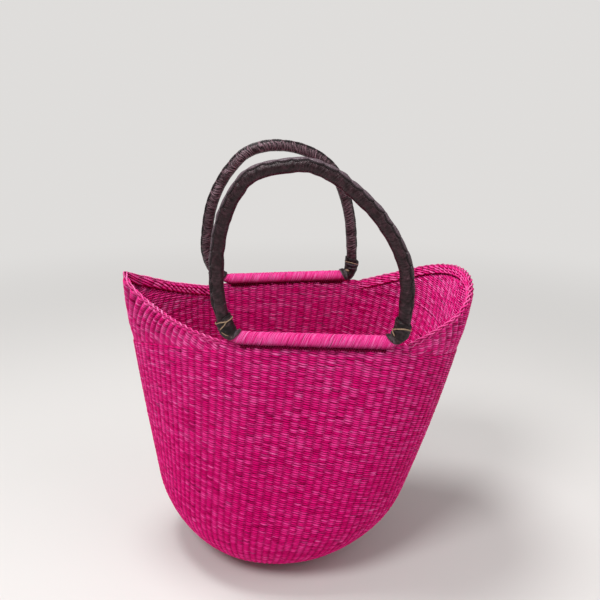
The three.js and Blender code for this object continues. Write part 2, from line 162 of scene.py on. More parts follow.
def to_world(hoop, points):
    turn = hoop["splay"] * hoop["outward"]
    x, y, z = points[..., 0], points[..., 1], points[..., 2]
    return np.stack([hoop["bar"][0] + x * math.cos(turn) - y * math.sin(turn),
                     hoop["bar"][1] + x * math.sin(turn) + y * math.cos(turn), BAR_HEIGHT + z], axis=-1)


def bar_points(name):
    """Four points along a bar, which the mouth runs through"""
    ends = HOOPS[name]["outward"] * BAR_LENGTH / 2 * np.array([1, BAR_INNER_SHARE, -BAR_INNER_SHARE, -1])
    return to_world(HOOPS[name], np.outer(ends, (1, 0, 0)))[:, :2]


mouth = Line([RIGHT_TIP, REAR_RIGHT_SHOULDER, *bar_points("rear"), REAR_LEFT_FLANK, LEFT_TIP,
              FRONT_LEFT_FLANK, *bar_points("front"), FRONT_RIGHT_SHOULDER], closed=True)
REAR_RIGHT_END, REAR_LEFT_END, LEFT_TIP_PLACE, FRONT_LEFT_END, FRONT_RIGHT_END = (
    mouth.share_of_point(index) for index in (2, 5, 7, 9, 12))
BAR_ENDS = (REAR_RIGHT_END, REAR_LEFT_END, FRONT_LEFT_END, FRONT_RIGHT_END)
SETBACK_SHARE = WING_SETBACK / mouth.length
RIM_SETBACK = RIM_SETBACK_LENGTH / mouth.length


def toward_tip(place):
    """How far along its wing a place lies, from 0 at the bar to 1 at the tip, and whether it is the left"""
    around = np.mod(place, 1)
    rear_left = (around - REAR_LEFT_END) / (LEFT_TIP_PLACE - REAR_LEFT_END)
    front_left = (FRONT_LEFT_END - around) / (FRONT_LEFT_END - LEFT_TIP_PLACE)
    rear_right = 1 - around / REAR_RIGHT_END
    front_right = (around - FRONT_RIGHT_END) / (1 - FRONT_RIGHT_END)
    left = (around > REAR_RIGHT_END) & (around < FRONT_RIGHT_END)
    share = np.where(left, np.minimum(rear_left, front_left), np.maximum(rear_right, front_right))
    return np.clip(share, 0, 1), left


def wing_top(place):
    share, left = toward_tip(place)
    left_rise = (LEFT_TIP_HEIGHT - WALL_TOP) * share ** LEFT_SWEEP_EXPONENT
    right_rise = (RIGHT_TIP_HEIGHT - WALL_TOP) * np.sin(np.pi / 2 * share) ** RIGHT_SWEEP_EXPONENT
    return WALL_TOP + np.where(left, left_rise, right_rise)


def wing_line(place):
    """The height at which the weave changes"""
    share, left = toward_tip(place)
    run = np.maximum(1 - np.hypot(1 - share, LINE_TIP_ROUNDING), 0)
    dip = np.where(left, run ** LEFT_LINE_EXPONENT, run ** RIGHT_LINE_EXPONENT)
    return WALL_TOP - WING_ROOT_HEIGHT - WING_LINE_DIP * dip


MOUTH_FLARE = 1 - (1 - WALL_TOP / FLARE_HEIGHT) ** FLARE_EXPONENT


def face_point(place, height):
    """A point on the wall's outer face above a place on the mouth"""
    flare = 1 - (1 - np.clip(height / FLARE_HEIGHT, 0, 1)) ** FLARE_EXPONENT
    around = np.mod(place, 1)
    turn = 2 * np.pi * around
    base = np.stack([BASE_HALF_LENGTH * np.cos(turn), BASE_HALF_DEPTH * np.sin(turn)], axis=-1)
    plan = base + (mouth.at(around * mouth.length) - base) * (flare / MOUTH_FLARE)[..., None]
    rise = np.clip(1 - height / BASE_CORNER_RADIUS, 0, 1)
    inset = BASE_CORNER_RADIUS * (1 - np.sqrt(1 - rise ** 2))
    plan = plan * (1 - inset / np.linalg.norm(plan, axis=-1))[..., None]
    return np.concatenate([plan, (height + 0 * place)[..., None]], axis=-1)


def framed(surface, place, climb, depth):
    """Points under a surface given as surface(place, climb), with the directions out of it and up it"""
    along = surface(place + PLACE_STEP, climb) - surface(place - PLACE_STEP, climb)
    up = surface(place, climb + PLACE_STEP) - surface(place, climb - PLACE_STEP)
    out = unit(np.cross(along, up))
    along = unit(along)
    return surface(place, climb) - out * depth, out, np.cross(out, along)


def added(name, data, place=(0, 0, 0), turn=(0, 0, 0)):
    made = bpy.data.objects.new(name, data)
    made.location, made.rotation_euler = place, turn
    bpy.context.scene.collection.objects.link(made)
    return made


# How far apart the fibres of neighbouring strands lie in the streaks, and the room round a strand's bake
FIBRE_STEP = 0.03
BAKE_MARGIN = 0.06


class Bundle:
    """Collects tubes and skins, then makes one mesh of them"""

    def __init__(self, sides):
        self.sides = sides
        self.points, self.quads, self.values, self.strips = [], [], [], []
        self.count = 0

    def add(self, rings, fibre, values, closed=False, flipped=False):
        """Rings are (places, sides, 3), and values the named numbers of each place or corner. Rings that run
        the other way round are flipped."""
        if flipped:
            rings, fibre = rings[:, ::-1], fibre[:, ::-1]
            values = {name: value[:, ::-1] for name, value in values.items()}
        places, sides = rings.shape[:2]
        spans = places if closed else places - 1
        row, turn = np.arange(spans)[:, None], np.arange(sides)[None, :]

        def corners(*of_quad):
            return np.stack(np.broadcast_arrays(*of_quad, row + turn)[:4], axis=-1).reshape(-1, 4)
        first, after, ahead = row * sides, (turn + 1) % sides, (row + 1) % places * sides
        quads = corners(first + turn, first + after, ahead + after, ahead + turn)
        around = corners(turn, turn + 1, turn + 1, turn) / sides
        forth = corners(row, row, row + 1, row + 1) / spans
        if not closed:
            for corner in range(1, sides - 2, 2):
                cap = np.array([0, corner, corner + 1, corner + 2])
                quads = np.vstack([quads, cap[::-1], (places - 1) * sides + cap])
                around = np.vstack([around, cap[::-1] / sides, cap / sides])
                forth = np.vstack([forth, np.zeros(4), np.ones(4)])
        given = {"fibre": fibre.reshape(-1, 3)}
        for name, value in values.items():
            value = value if np.ndim(value) == 2 else np.reshape(value, (-1, 1))
            given[name] = np.broadcast_to(value, (places, sides)).ravel()
        self.points.append(rings.reshape(-1, 3))
        self.quads.append(quads + self.count)
        self.strips.append((forth, around))
        self.values.append(given)
        self.count += places * sides

    def faces(self):
        return sum(len(quads) for quads in self.quads)

    def build(self, name, material):
        quads = np.vstack(self.quads).astype(np.int32)
        mesh = bpy.data.meshes.new(name)
        mesh.vertices.add(self.count)
        mesh.vertices.foreach_set("co", np.vstack(self.points).astype(np.float32).ravel())
        mesh.loops.add(quads.size)
        mesh.loops.foreach_set("vertex_index", quads.ravel())
        mesh.polygons.add(len(quads))
        mesh.polygons.foreach_set("loop_start", np.arange(0, quads.size, 4, dtype=np.int32))
        mesh.polygons.foreach_set("use_smooth", np.ones(len(quads), bool))
        mesh.update(calc_edges=True)
        for value in self.values[0]:
            kind, field = ("FLOAT_VECTOR", "vector") if value == "fibre" else ("FLOAT", "value")
            numbers = np.concatenate([given[value] for given in self.values]).astype(np.float32)
            mesh.attributes.new(value, kind, "POINT").data.foreach_set(field, numbers.ravel())
        lanes = [(lane + BAKE_MARGIN + (1 - 2 * BAKE_MARGIN) * around) / len(self.strips)
                 for lane, (_, around) in enumerate(self.strips)]
        places = np.stack([np.vstack([forth for forth, _ in self.strips]), np.vstack(lanes)], axis=-1)
        mesh.uv_layers.new(name="OFBake").uv.foreach_set("vector", places.astype(np.float32).ravel())
        mesh.materials.append(material)
        return added(name, mesh)


def directions(centres, closed):
    if closed:
        return unit(np.roll(centres, -1, axis=0) - np.roll(centres, 1, axis=0))
    return unit(np.gradient(centres, axis=0))


def tube(bundle, centres, out, half_out, half_wide, values, closed=False):
    """Adds an oval tube along a line. Its fibres run along it."""
    along = directions(centres, closed)
    out = unit(out - along * np.sum(out * along, axis=1, keepdims=True))
    wide = np.cross(along, out)
    turns = 2 * np.pi * np.arange(bundle.sides) / bundle.sides
    reach = np.broadcast_to(half_out, len(centres))[:, None] * np.cos(turns)
    width = np.broadcast_to(half_wide, len(centres))[:, None] * np.sin(turns)
    rings = centres[:, None] + out[:, None] * reach[..., None] + wide[:, None] * width[..., None]
    lengths = np.concatenate([[0], np.cumsum(np.linalg.norm(np.diff(centres, axis=0), axis=1))])
    fibre = (lengths[:, None] + 0 * reach, reach + FIBRE_STEP * len(bundle.points), width)
    bundle.add(rings, np.stack(fibre, axis=-1), values, closed)


def ends_taper(places, low, high):
    """How much of an open strand is left toward its ends"""
    return smoothstep(np.minimum(places - places[0], places[-1] - places), low, high)


def joined(values, knots):
    """Values given at the whole numbers, joined smoothly. Past the last one they begin again."""
    index = np.floor(knots).astype(int)
    share = smoothstep(knots - index, 0, 1)
    return values[index % len(values)] * (1 - share) + values[(index + 1) % len(values)] * share


def wander(rng, places, size=1.0, spacing=1.0):
    """A smooth random line: one random value for each spacing of the places"""
    knots = np.asarray(places) / spacing
    first = int(np.floor(knots.min()))
    return joined(rng.normal(0, size, int(np.ceil(knots.max())) - first + 2), knots - first)


def looped(rng, stakes, samples, size, spacing=1):
    """The same for a closed row of stakes"""
    return joined(rng.normal(0, size, stakes // spacing), np.arange(stakes * samples) / samples / spacing)


# Materials

def socket_value(colour):
    """An sRGB colour as Blender's linear one"""
    shares = (value / 255 for value in colour)
    linear = [share / 12.92 if share <= 0.04045 else ((share + 0.055) / 1.055) ** 2.4 for share in shares]
    return (*linear, 1)


class Shader:
    """A material or a world, and short ways to add nodes to it"""

    def __init__(self, name, kept_in=bpy.data.materials):
        self.material = kept_in.new(name)
        self.material.use_nodes = True
        self.tree = self.material.node_tree
        self.surface = next(node for node in self.tree.nodes
                            if node.type in ("BSDF_PRINCIPLED", "BACKGROUND"))

    def node(self, kind, inputs=(), **settings):
        made = self.tree.nodes.new("ShaderNode" + kind)
        for setting, value in settings.items():
            setattr(made, setting, value)
        for socket, value in dict(inputs).items():
            self.put(made.inputs[socket], value)
        return made

    def put(self, socket, value):
        if isinstance(value, bpy.types.NodeSocket):
            self.tree.links.new(value, socket)
        else:
            socket.default_value = value

    def look(self, name):
        return self.node("Attribute", attribute_name=name).outputs["Fac"]

    def fibre(self):
        return self.node("Attribute", attribute_name="fibre").outputs["Vector"]

    def place(self):
        return self.node("TexCoord").outputs["Object"]

    def maths(self, operation, first, second, clamp=False):
        made = self.node("Math", {0: first, 1: second}, operation=operation, use_clamp=clamp)
        return made.outputs[0]

    def weighed(self, *parts):
        """The sum of some values, each times its weight"""
        total = 0.0
        for value, weight in parts:
            total = self.maths("ADD", total, self.maths("MULTIPLY", value, weight))
        return total

    def noise(self, vector, scale, detail):
        scaled = self.node("VectorMath", {0: vector, 1: scale}, operation="MULTIPLY").outputs[0]
        inputs = {"Vector": scaled, "Scale": 1.0, "Detail": detail}
        return self.node("TexNoise", inputs).outputs["Fac"]

    def ramp(self, share, stops):
        made = self.node("ValToRGB", {"Fac": share})
        while len(made.color_ramp.elements) < len(stops):
            made.color_ramp.elements.new(0.5)
        for element, (place, colour) in zip(made.color_ramp.elements, stops):
            element.position = place
            element.color = socket_value(colour)
        return made.outputs["Color"]

    def mix(self, share, first, second):
        made = self.node("Mix", data_type="RGBA")
        self.put(made.inputs["Factor"], share)
        self.put(made.inputs["A"], first)
        self.put(made.inputs["B"], second)
        return next(output for output in made.outputs if output.type == "RGBA")

    def ranged(self, value, low, high):
        inputs = {"Value": value, "To Min": low, "To Max": high}
        return self.node("MapRange", inputs).outputs["Result"]

    def bump(self, height, distance, strength):
        made = self.node("Bump", {"Height": height, "Distance": distance, "Strength": strength})
        self.put(self.surface.inputs["Normal"], made.outputs["Normal"])

    def finish(self, **inputs):
        for name, value in inputs.items():
            self.put(self.surface.inputs[name.replace("_", " ")], value)
        return self.material


# Grass: how often its streaks repeat along and across a strand in a metre, and how they look
FINE_STREAKS = (120, 1900, 1900)
BROAD_STREAKS = (45, 420, 420)
STREAK_TONES = (-0.55, 0.55)
GRASS_ROUGHNESS = (0.38, 0.6)
GRASS_SHEEN = 0.04
# Painted shade: how far the deepest hollows are painted toward the dark hollow colour
HOLLOW_SHADE_SHARE = 0.85


def grass(name, stops, hollow):
    """Dyed grass: strand tones, streaks along the fibres, and painted shade that darkens the hollows"""
    shader = Shader(name)
    fine = shader.noise(shader.fibre(), FINE_STREAKS, detail=3.0)
    broad = shader.noise(shader.fibre(), BROAD_STREAKS, detail=1.0)
    streak = shader.weighed((fine, 0.5), (broad, 0.5))
    tone = shader.maths("ADD", shader.look("tone"), shader.ranged(streak, *STREAK_TONES), clamp=True)
    # Painted shade: each corner's shade value mixes its colour toward the dark hollow colour
    painted_shade = shader.maths("MULTIPLY", shader.look("painted_shade"), HOLLOW_SHADE_SHARE, clamp=True)
    shader.bump(streak, distance=0.0005, strength=0.7)
    return shader.finish(Base_Color=shader.mix(painted_shade, shader.ramp(tone, stops), socket_value(hollow)),
                         Roughness=shader.ranged(streak, *GRASS_ROUGHNESS), Specular_IOR_Level=GRASS_SHEEN)


# The last colour of each grass is the colour of its painted shade in the hollows
PINK_GRASS = grass("pink_grass", [
    (0.0, (140, 0, 56)), (0.35, (200, 0, 96)), (0.6, (234, 10, 122)), (0.82, (252, 60, 156)),
    (1.0, (255, 118, 190))], (72, 0, 26))
RIM_GRASS = grass("rim_grass", [
    (0.0, (190, 12, 98)), (0.4, (240, 48, 142)), (0.7, (252, 92, 168)), (1.0, (255, 146, 202))],
    (120, 0, 56))
BAR_GRASS = grass("bar_grass", [
    (0.0, (176, 0, 80)), (0.4, (232, 20, 120)), (0.7, (254, 70, 162)), (1.0, (255, 140, 206))],
    (104, 0, 42))


# Leather: its blotches, grain and wrinkles, the colour of the painted highlight on its ridges, and that of
# the painted shade in its creases and of its dark seam
BLOTCH_SCALE, BLOTCH_TONES = 130.0, (-0.3, 0.9)
GRAIN_TONES = (-0.5, 0.7)
WRINKLE_SCALE = (380, 90, 90)
CELLS_TO_GRAIN = 0.9
RIDGE_HIGHLIGHT_COLOUR, CREASE_SHADE_AND_SEAM_COLOUR = (158, 124, 136), (14, 8, 10)
LEATHER_SHEEN = 0.26


def leather(name, stops, lip, grain_scale, rough):
    """Wrinkled goatskin with a paler lip, painted highlights on its ridges, painted shade in its creases,
    and a dark seam
    """
    shader = Shader(name)
    blotch = shader.noise(shader.place(), (BLOTCH_SCALE,) * 3, detail=3.0)
    grain = shader.noise(shader.place(), (grain_scale,) * 3, detail=4.0)
    wrinkle = shader.noise(shader.fibre(), WRINKLE_SCALE, detail=3.0)
    cells = shader.node("TexVoronoi",
                        {"Vector": shader.place(), "Scale": grain_scale * CELLS_TO_GRAIN})
    tone = shader.maths("ADD", shader.ranged(blotch, *BLOTCH_TONES), shader.ranged(grain, *GRAIN_TONES),
                        clamp=True)
    colour = shader.ramp(tone, stops)
    # Mixes in the pale lip, the painted highlight on ridges and the painted shade in creases with the dark
    # seam
    for look, worn in (("edge", lip), ("ridge", RIDGE_HIGHLIGHT_COLOUR), ("crease", CREASE_SHADE_AND_SEAM_COLOUR)):
        colour = shader.mix(shader.look(look), colour, socket_value(worn))
    height = shader.weighed((wrinkle, 0.6), (grain, 0.3), (cells.outputs["Distance"], 0.25))
    shader.bump(height, distance=0.0016, strength=0.9)
    return shader.finish(Base_Color=colour, Roughness=shader.ranged(grain, *rough),
                         Specular_IOR_Level=LEATHER_SHEEN)


BROWN_LEATHER = leather("brown_leather", [
    (0.0, (18, 6, 9)), (0.4, (40, 20, 25)), (0.75, (66, 39, 47)), (1.0, (126, 90, 104))],
    (104, 88, 96), 300.0, (0.3, 0.5))
# For the feet the lip colour is also the colour of the painted highlight on the folds
DARK_LEATHER = leather("dark_leather", [
    (0.0, (15, 8, 9)), (0.45, (42, 27, 29)), (0.8, (80, 60, 62)), (1.0, (126, 106, 112))],
    (110, 98, 108), 260.0, (0.36, 0.56))


THREAD_STREAKS = (500, 2600, 2600)
STRAW_STREAKS = (60, 900, 60)


def thread(name, stops):
    """Twisted thread"""
    shader = Shader(name)
    streak = shader.noise(shader.fibre(), THREAD_STREAKS, detail=2.0)
    shader.bump(streak, distance=0.0002, strength=0.8)
    return shader.finish(Base_Color=shader.ramp(streak, stops), Roughness=0.7)


TAN_THREAD = thread("tan_thread", [(0.2, (116, 90, 70)), (0.6, (168, 140, 112)), (0.9, (204, 180, 150))])
DARK_THREAD = thread("dark_thread", [(0.2, (16, 10, 11)), (0.6, (38, 26, 29)), (0.9, (66, 50, 54))])


def straw():
    """The bundle of straw inside each hoop"""
    shader = Shader("straw")
    streak = shader.noise(shader.place(), STRAW_STREAKS, detail=3.0)
    shader.bump(streak, distance=0.0006, strength=0.8)
    colour = shader.ramp(streak, [(0.2, (120, 92, 52)), (0.6, (190, 158, 100)), (0.9, (224, 200, 146))])
    return shader.finish(Base_Color=colour, Roughness=0.75)


STRAW = straw()


# Weave of the wall: how far a strand comes forward and goes back, half its thickness and its width, how it
# slopes, how squarely it changes places, and the painted shade in its hollows and on its lower edge
BODY_STYLE = {"front": 1.1 * MM, "back": 1.1 * MM, "half_out": 1.2 * MM, "half_wide": 1.5 * MM,
              "slope": 0.8 * MM, "square": 0.85, "hollow": 0.7, "fall": 1.3, "under": 1.3}
INNER_STYLE = {"front": 0.5 * MM, "back": 1.3 * MM, "half_out": 0.95 * MM, "half_wide": 1.45 * MM,
               "slope": 0.75 * MM, "square": 0.9, "hollow": 0.65, "fall": 1.2, "under": 1.2}
LEFT_RIB_STYLE = {"front": 3.4 * MM, "back": 0.2 * MM, "half_out": 1.05 * MM, "half_wide": 1.7 * MM,
                  "slope": 1.3 * MM, "square": 3.6, "hollow": 1.0, "fall": 0.6, "under": 0.85}
RIGHT_RIB_STYLE = {**LEFT_RIB_STYLE, "front": 3.1 * MM, "slope": 1.2 * MM, "square": 3.0, "fall": 0.7,
                   "under": 0.95}
BAND_STYLE = {"front": 0.3 * MM, "back": 1.9 * MM, "half_out": 1.2 * MM, "half_wide": 1.75 * MM,
              "slope": 1.5 * MM, "square": 1.0, "hollow": 0.5, "fall": 1.2, "under": 0.6}
# Painted shade along a strand's upper edge
OVER_SHADE = 0.1
RIB_PITCH = 3.1 * MM
BAND_PITCH = 3.6 * MM
BAND_ROWS = 3
BAND_GAP = 1.1 * MM

# How strands vary along their length and among themselves, and what is left of them at their ends
THICK_VARIES = 0.09
LIFT_VARIES = 0.13 * MM
TONE_VARIES = 0.1
BROAD_TONE_VARIES, BROAD_TONE_STAKES = 0.05, 6
STRAND_TONE_VARIES = 0.035
BASE_TONE, TONE_REACH = 0.33, 0.15
# Painted highlight: how much lighter a strand's upper edges are, and how far round they lie
GLINT, GLINT_TURN = 0.6, 0.5
# Painted shade: random dark stretches of strand for the shadowed gaps in the weave, where and how dark
GAP_SHADE = (1.4, 0.45)
TAPER_STAKES = (-0.3, 0.8)
# How far a strand's thinned ends still swing, and the painted shade on them
END_SWING, END_SHADE = 0.4, 0.25
# How much painted shade stays in the hollows where rows have no relief
FLAT_HOLLOW = 0.3
CROSSING_WIDTH = 0.78


def strand_looks(sides, tone, painted_shade, glint, under, over):
    """The looks of a strand's corners: a painted highlight on its upper edges, and painted shade under and
    over its widest place"""
    turns = 2 * np.pi * np.arange(sides)[None] / sides
    lit = sum(np.clip(facing * np.cos(turns + facing * GLINT_TURN), 0, 1) ** 4 for facing in (1, -1))
    low, high = (np.clip(facing * np.sin(turns), 0, 1) ** 2 for facing in (1, -1))
    return {"tone": np.reshape(tone, (-1, 1)) + glint * lit,
            "painted_shade": np.reshape(painted_shade, (-1, 1)) + under * low + over * high}


def twine(bundle, rng, stakes, frames, style, closed, shade, relief=1.0):
    """A row of two strands that change places at each stake, one in front of it and one behind. Frames are
    the row's middle and the directions out of the wall and up it."""
    centre, out, up = frames
    samples = round(1 / (stakes[1] - stakes[0]))
    taper = np.ones(len(stakes)) if closed else ends_taper(stakes, *TAPER_STAKES)

    def vary(size, spacing=1):
        if closed:
            return looped(rng, len(stakes) // samples, samples, size, spacing)
        return wander(rng, stakes, size, spacing)
    for strand in (0, 1):
        phase = np.pi * (stakes + strand)
        thick = 1 + vary(THICK_VARIES)
        lift = vary(LIFT_VARIES)
        tone = vary(TONE_VARIES) + vary(BROAD_TONE_VARIES, BROAD_TONE_STAKES)
        gap_shade = np.clip(vary(1) - GAP_SHADE[0], 0, GAP_SHADE[1])
        tone = np.clip(tone + rng.normal(0, STRAND_TONE_VARIES), -TONE_REACH, TONE_REACH)
        face = np.cos(phase)
        front = np.abs(face)
        reach = np.where(face < 0, style["back"], style["front"] * relief)
        swing = np.sign(face) * front ** style["square"] * reach * blend(END_SWING, 1, taper)
        drop = -style["slope"] * np.sin(phase) + lift
        # Painted shade: darker where the strand goes behind a stake, on its thinned ends and in random
        # stretches
        painted_shade = style["hollow"] * (1 - front) ** style["fall"] * blend(FLAT_HOLLOW, 1, relief)
        painted_shade = painted_shade + END_SHADE * (1 - taper) + gap_shade
        # Painted light: rows are painted lighter or darker by where they lie on the basket
        tone = BASE_TONE + shade + tone
        tube(bundle, centre + out * swing[:, None] + up * drop[:, None], out,
             style["half_out"] * thick * taper,
             style["half_wide"] * thick * taper * blend(CROSSING_WIDTH, 1, front),
             strand_looks(bundle.sides, tone, painted_shade, GLINT, style["under"], OVER_SHADE), closed)


def meridian(place, climb):
    """The wall's outer face from the middle of the base, climb -1, past the base's edge, 0, to the line
    where the weave changes, 1"""
    turn = np.pi / 2 * np.clip(climb / CORNER_SHARE, 0, 1)
    rise = np.maximum((climb - CORNER_SHARE) / (1 - CORNER_SHARE), 0)
    height = BASE_CORNER_RADIUS * (1 - np.cos(turn)) + rise * (wing_line(place) - BASE_CORNER_RADIUS)
    point = face_point(place, height)
    point[..., :2] *= (1 + np.minimum(climb, 0) * (1 + 0 * place))[..., None]
    return point


CORNER_LENGTH = BASE_CORNER_RADIUS * np.pi / 2
WALL_LENGTH = WALL_TOP - WING_ROOT_HEIGHT - BASE_CORNER_RADIUS
MERIDIAN_LENGTH = CORNER_LENGTH + WALL_LENGTH
CORNER_SHARE = CORNER_LENGTH / MERIDIAN_LENGTH
BASE_PATCH = 48 * MM
BASE_EYE_ROWS = 0.6
BODY_SAMPLES = 5
WING_SAMPLES = 6
ROUND_SAMPLES = 12
LEAST_SPACING = 5.4 * MM
LEAST_STAKES = 8
ROW_WOBBLE, ROW_WOBBLE_STAKES = 0.1 * MM, 4
# Painted light: rows are painted darker low on the wall and lighter toward its top
LOW_SHADE, TOP_SHADE, SHADE_CLIMB = -0.04, 0.05, 0.45


def stakes_round(climb):
    """Stakes are taken together near the middle of the base, where they would crowd"""
    ring = meridian(np.arange(ROUND_SAMPLES) / ROUND_SAMPLES, np.full(ROUND_SAMPLES, climb))
    radius = np.linalg.norm(ring[:, :2], axis=1).mean()
    stakes = STAKES
    while stakes > LEAST_STAKES and 2 * np.pi * radius / stakes < LEAST_SPACING:
        stakes //= 2
        stakes -= stakes % 2
    return stakes


def weave_body(rng):
    rows = int(round(MERIDIAN_LENGTH / ROW_PITCH))
    patch_rows = int(BASE_PATCH / ROW_PITCH)
    climbs = [(row + BASE_EYE_ROWS) / patch_rows - 1 for row in range(patch_rows)]
    climbs += [(row + 0.5) / rows for row in range(rows)]
    panels = [Bundle(6)]
    for climb in climbs:
        count = stakes_round(climb)
        stakes = np.arange(count * BODY_SAMPLES) / BODY_SAMPLES
        wobble = looped(rng, count, BODY_SAMPLES, ROW_WOBBLE, ROW_WOBBLE_STAKES) / MERIDIAN_LENGTH
        depth = blend(WALL_DEPTH, FACE_DEPTH, smoothstep(climb, 0, CORNER_SHARE))
        shade = blend(LOW_SHADE, TOP_SHADE, smoothstep(climb, SHADE_CLIMB, 1))
        frames = framed(meridian, stakes / count, climb + wobble, depth)
        twine(panels[-1], rng, stakes, frames, BODY_STYLE, True, shade)
        if panels[-1].faces() > PANEL_FACES - 2 * STAKES * BODY_SAMPLES * panels[-1].sides:
            panels.append(Bundle(6))
    return panels


def runs(mask):
    """The first and last places of each stretch where the mask holds, as slices"""
    edges = np.flatnonzero(np.diff(np.concatenate([[0], mask.astype(int), [0]])))
    pairs = zip(edges[::2], edges[1::2])
    return [slice(first, last) for first, last in pairs if last - first > WING_SAMPLES]


LEFT_LEAN = 4.3
RIGHT_LEAN = 1.3
LEAN_ROUNDS = 3
TIP_SOFTNESS = 30 * MM


def leaned(stakes, height_at):
    """Where stakes cross a row of the wings, since they lean until they meet the rim squarely"""
    base = stakes / STAKES
    slope = (wing_top(base + PLACE_STEP) - wing_top(base - PLACE_STEP)) / (2 * PLACE_STEP * mouth.length)
    from_tip = [np.abs(np.mod(base - tip + 0.5, 1) - 0.5) * mouth.length for tip in (LEFT_TIP_PLACE, 0)]
    slope *= np.tanh(np.minimum(*from_tip) / TIP_SOFTNESS)
    slope *= np.where(toward_tip(base)[1], LEFT_LEAN, RIGHT_LEAN)
    tall = wing_top(base) - wing_line(base)
    place = base
    for _ in range(LEAN_ROUNDS):
        climb = np.clip((height_at(place) - wing_line(place)) / tall, 0, 1)
        place = base - slope * tall * climb ** 2 / 2 / mouth.length
    return place, height_at(place)


def wing_zone(place, setback):
    around = np.mod(place, 1)
    left = (around > REAR_LEFT_END + setback) & (around < FRONT_LEFT_END - setback)
    right = (around < REAR_RIGHT_END - setback) | (around > FRONT_RIGHT_END + setback)
    return left | right


SEAM = (FRONT_LEFT_END + FRONT_RIGHT_END) / 2 - 1
SEAM_OVERLAP = 2


def unrolled(samples):
    """All stakes in order from the seam, and a little past it so that the strands' ends overlap there"""
    return SEAM * STAKES + np.arange((STAKES + SEAM_OVERLAP) * samples) / samples


TALLEST_WING = max(LEFT_TIP_HEIGHT, RIGHT_TIP_HEIGHT) - WALL_TOP + WING_ROOT_HEIGHT + WING_LINE_DIP
RIB_DEPTH = 2.3 * MM
RIB_GROWTH = 28 * MM
RIB_START_ROWS = 0.35
ROOT_RELIEF, RELIEF_SHARES = 0.3, (0.1, 0.6)
BAND_DEPTH = 4.3 * MM
# Painted light: how much lighter the ribbed rows, the broad inner rows and the fine inner rows are painted
RIB_SHADE, BAND_SHADE, INNER_SHADE = 0.03, 0.1, 0.13
INNER_DEPTH = 4.6 * MM
INNER_ROOT_DEPTH = 2.6 * MM
INNER_DEPTH_SHARES = (0.05, 0.3)
INNER_LEAST_ROWS, INNER_TOP_ROWS = 0.7, 0.3
BAR_END_REACH = mm(14, 34)
UNDER_BAR, BESIDE_BAR, OVER_WING = mm(3.4, 4.0, 0.8)
WING_OVERLAP = 9 * MM


def growth(place, height):
    """How much of their relief the rows have above the line where the weave changes"""
    return smoothstep(height - wing_line(place), 0, RIB_GROWTH)


def wing_rows(rng, wings, pitch, rows, depth, styles, shade):
    """Rows that run parallel with the rim, down to the line where the weave changes"""
    stakes = unrolled(WING_SAMPLES)
    for row in range(rows):
        under = (row + 0.5) * pitch
        places, heights = leaned(stakes, lambda place: wing_top(place) - under)
        kept = wing_zone(places, SETBACK_SHARE) & (heights > wing_line(places) - RIB_START_ROWS * pitch)
        for some in runs(kept):
            place, height = places[some], heights[some]
            share, left = toward_tip(place)
            side = "left" if left[0] else "right"
            relief = blend(ROOT_RELIEF, 1, growth(place, height) * smoothstep(share, *RELIEF_SHARES))
            twine(wings[side], rng, stakes[some], framed(face_point, place, height, depth), styles[side],
                  False, shade, relief)


def weave_wings(rng):
    """The ribbed rows outside both wings and the broad ones inside, just under the rim"""
    wings = {"left": Bundle(8), "right": Bundle(8)}
    wing_rows(rng, wings, RIB_PITCH, int(TALLEST_WING / RIB_PITCH) + 1, RIB_DEPTH,
              {"left": LEFT_RIB_STYLE, "right": RIGHT_RIB_STYLE}, RIB_SHADE)
    wing_rows(rng, wings, BAND_PITCH, BAND_ROWS, BAND_DEPTH, {"left": BAND_STYLE, "right": BAND_STYLE},
              BAND_SHADE)
    return wings


def inner_limit(place):
    """How high the fine rows reach: to the broad rows in a wing, and to the bars elsewhere"""
    under_band = np.maximum(wing_top(place) - BAND_ROWS * BAND_PITCH - BAND_GAP,
                            wing_line(place) + INNER_LEAST_ROWS * ROW_PITCH)
    around = np.mod(place, 1)
    from_end = mouth.length * np.minimum.reduce([np.abs(around - end) for end in BAR_ENDS])
    beside_bar = 1 - smoothstep(from_end, *BAR_END_REACH)
    under_bar = np.maximum(WALL_TOP + UNDER_BAR + BESIDE_BAR * beside_bar, wing_top(place) + OVER_WING)
    in_wing = wing_zone(place, SETBACK_SHARE + WING_OVERLAP / mouth.length)
    return np.where(in_wing, under_band, under_bar)


def weave_inside(rng):
    """Fine rows that go on above the line: up to the bars, and on the inside of the wings"""
    bundle = Bundle(6)
    stakes = unrolled(BODY_SAMPLES)
    for row in range(int(TALLEST_WING / ROW_PITCH)):
        above = (row + 0.5) * ROW_PITCH
        places, heights = leaned(stakes, lambda place: wing_line(place) + above)
        for some in runs(heights < inner_limit(places) - INNER_TOP_ROWS * ROW_PITCH):
            place, height = places[some], heights[some]
            share = toward_tip(place)[0]
            depth = blend(INNER_ROOT_DEPTH, INNER_DEPTH, growth(place, height))
            depth = blend(FACE_DEPTH, depth, smoothstep(share, *INNER_DEPTH_SHARES))
            style = INNER_STYLE if share.max() > INNER_DEPTH_SHARES[1] else BODY_STYLE
            twine(bundle, rng, stakes[some], framed(face_point, place, height, depth[:, None]), style,
                  False, INNER_SHADE)
    return bundle


STAKE_HALVES = mm(0.8, 1.9)
STAKE_CLIMBS = np.linspace(0.02, 1, 40)
STAKE_WING_CLIMBS = np.linspace(0, 1, 12)[1:]
WING_DEPTH = WALL_DEPTH + 0.3 * MM


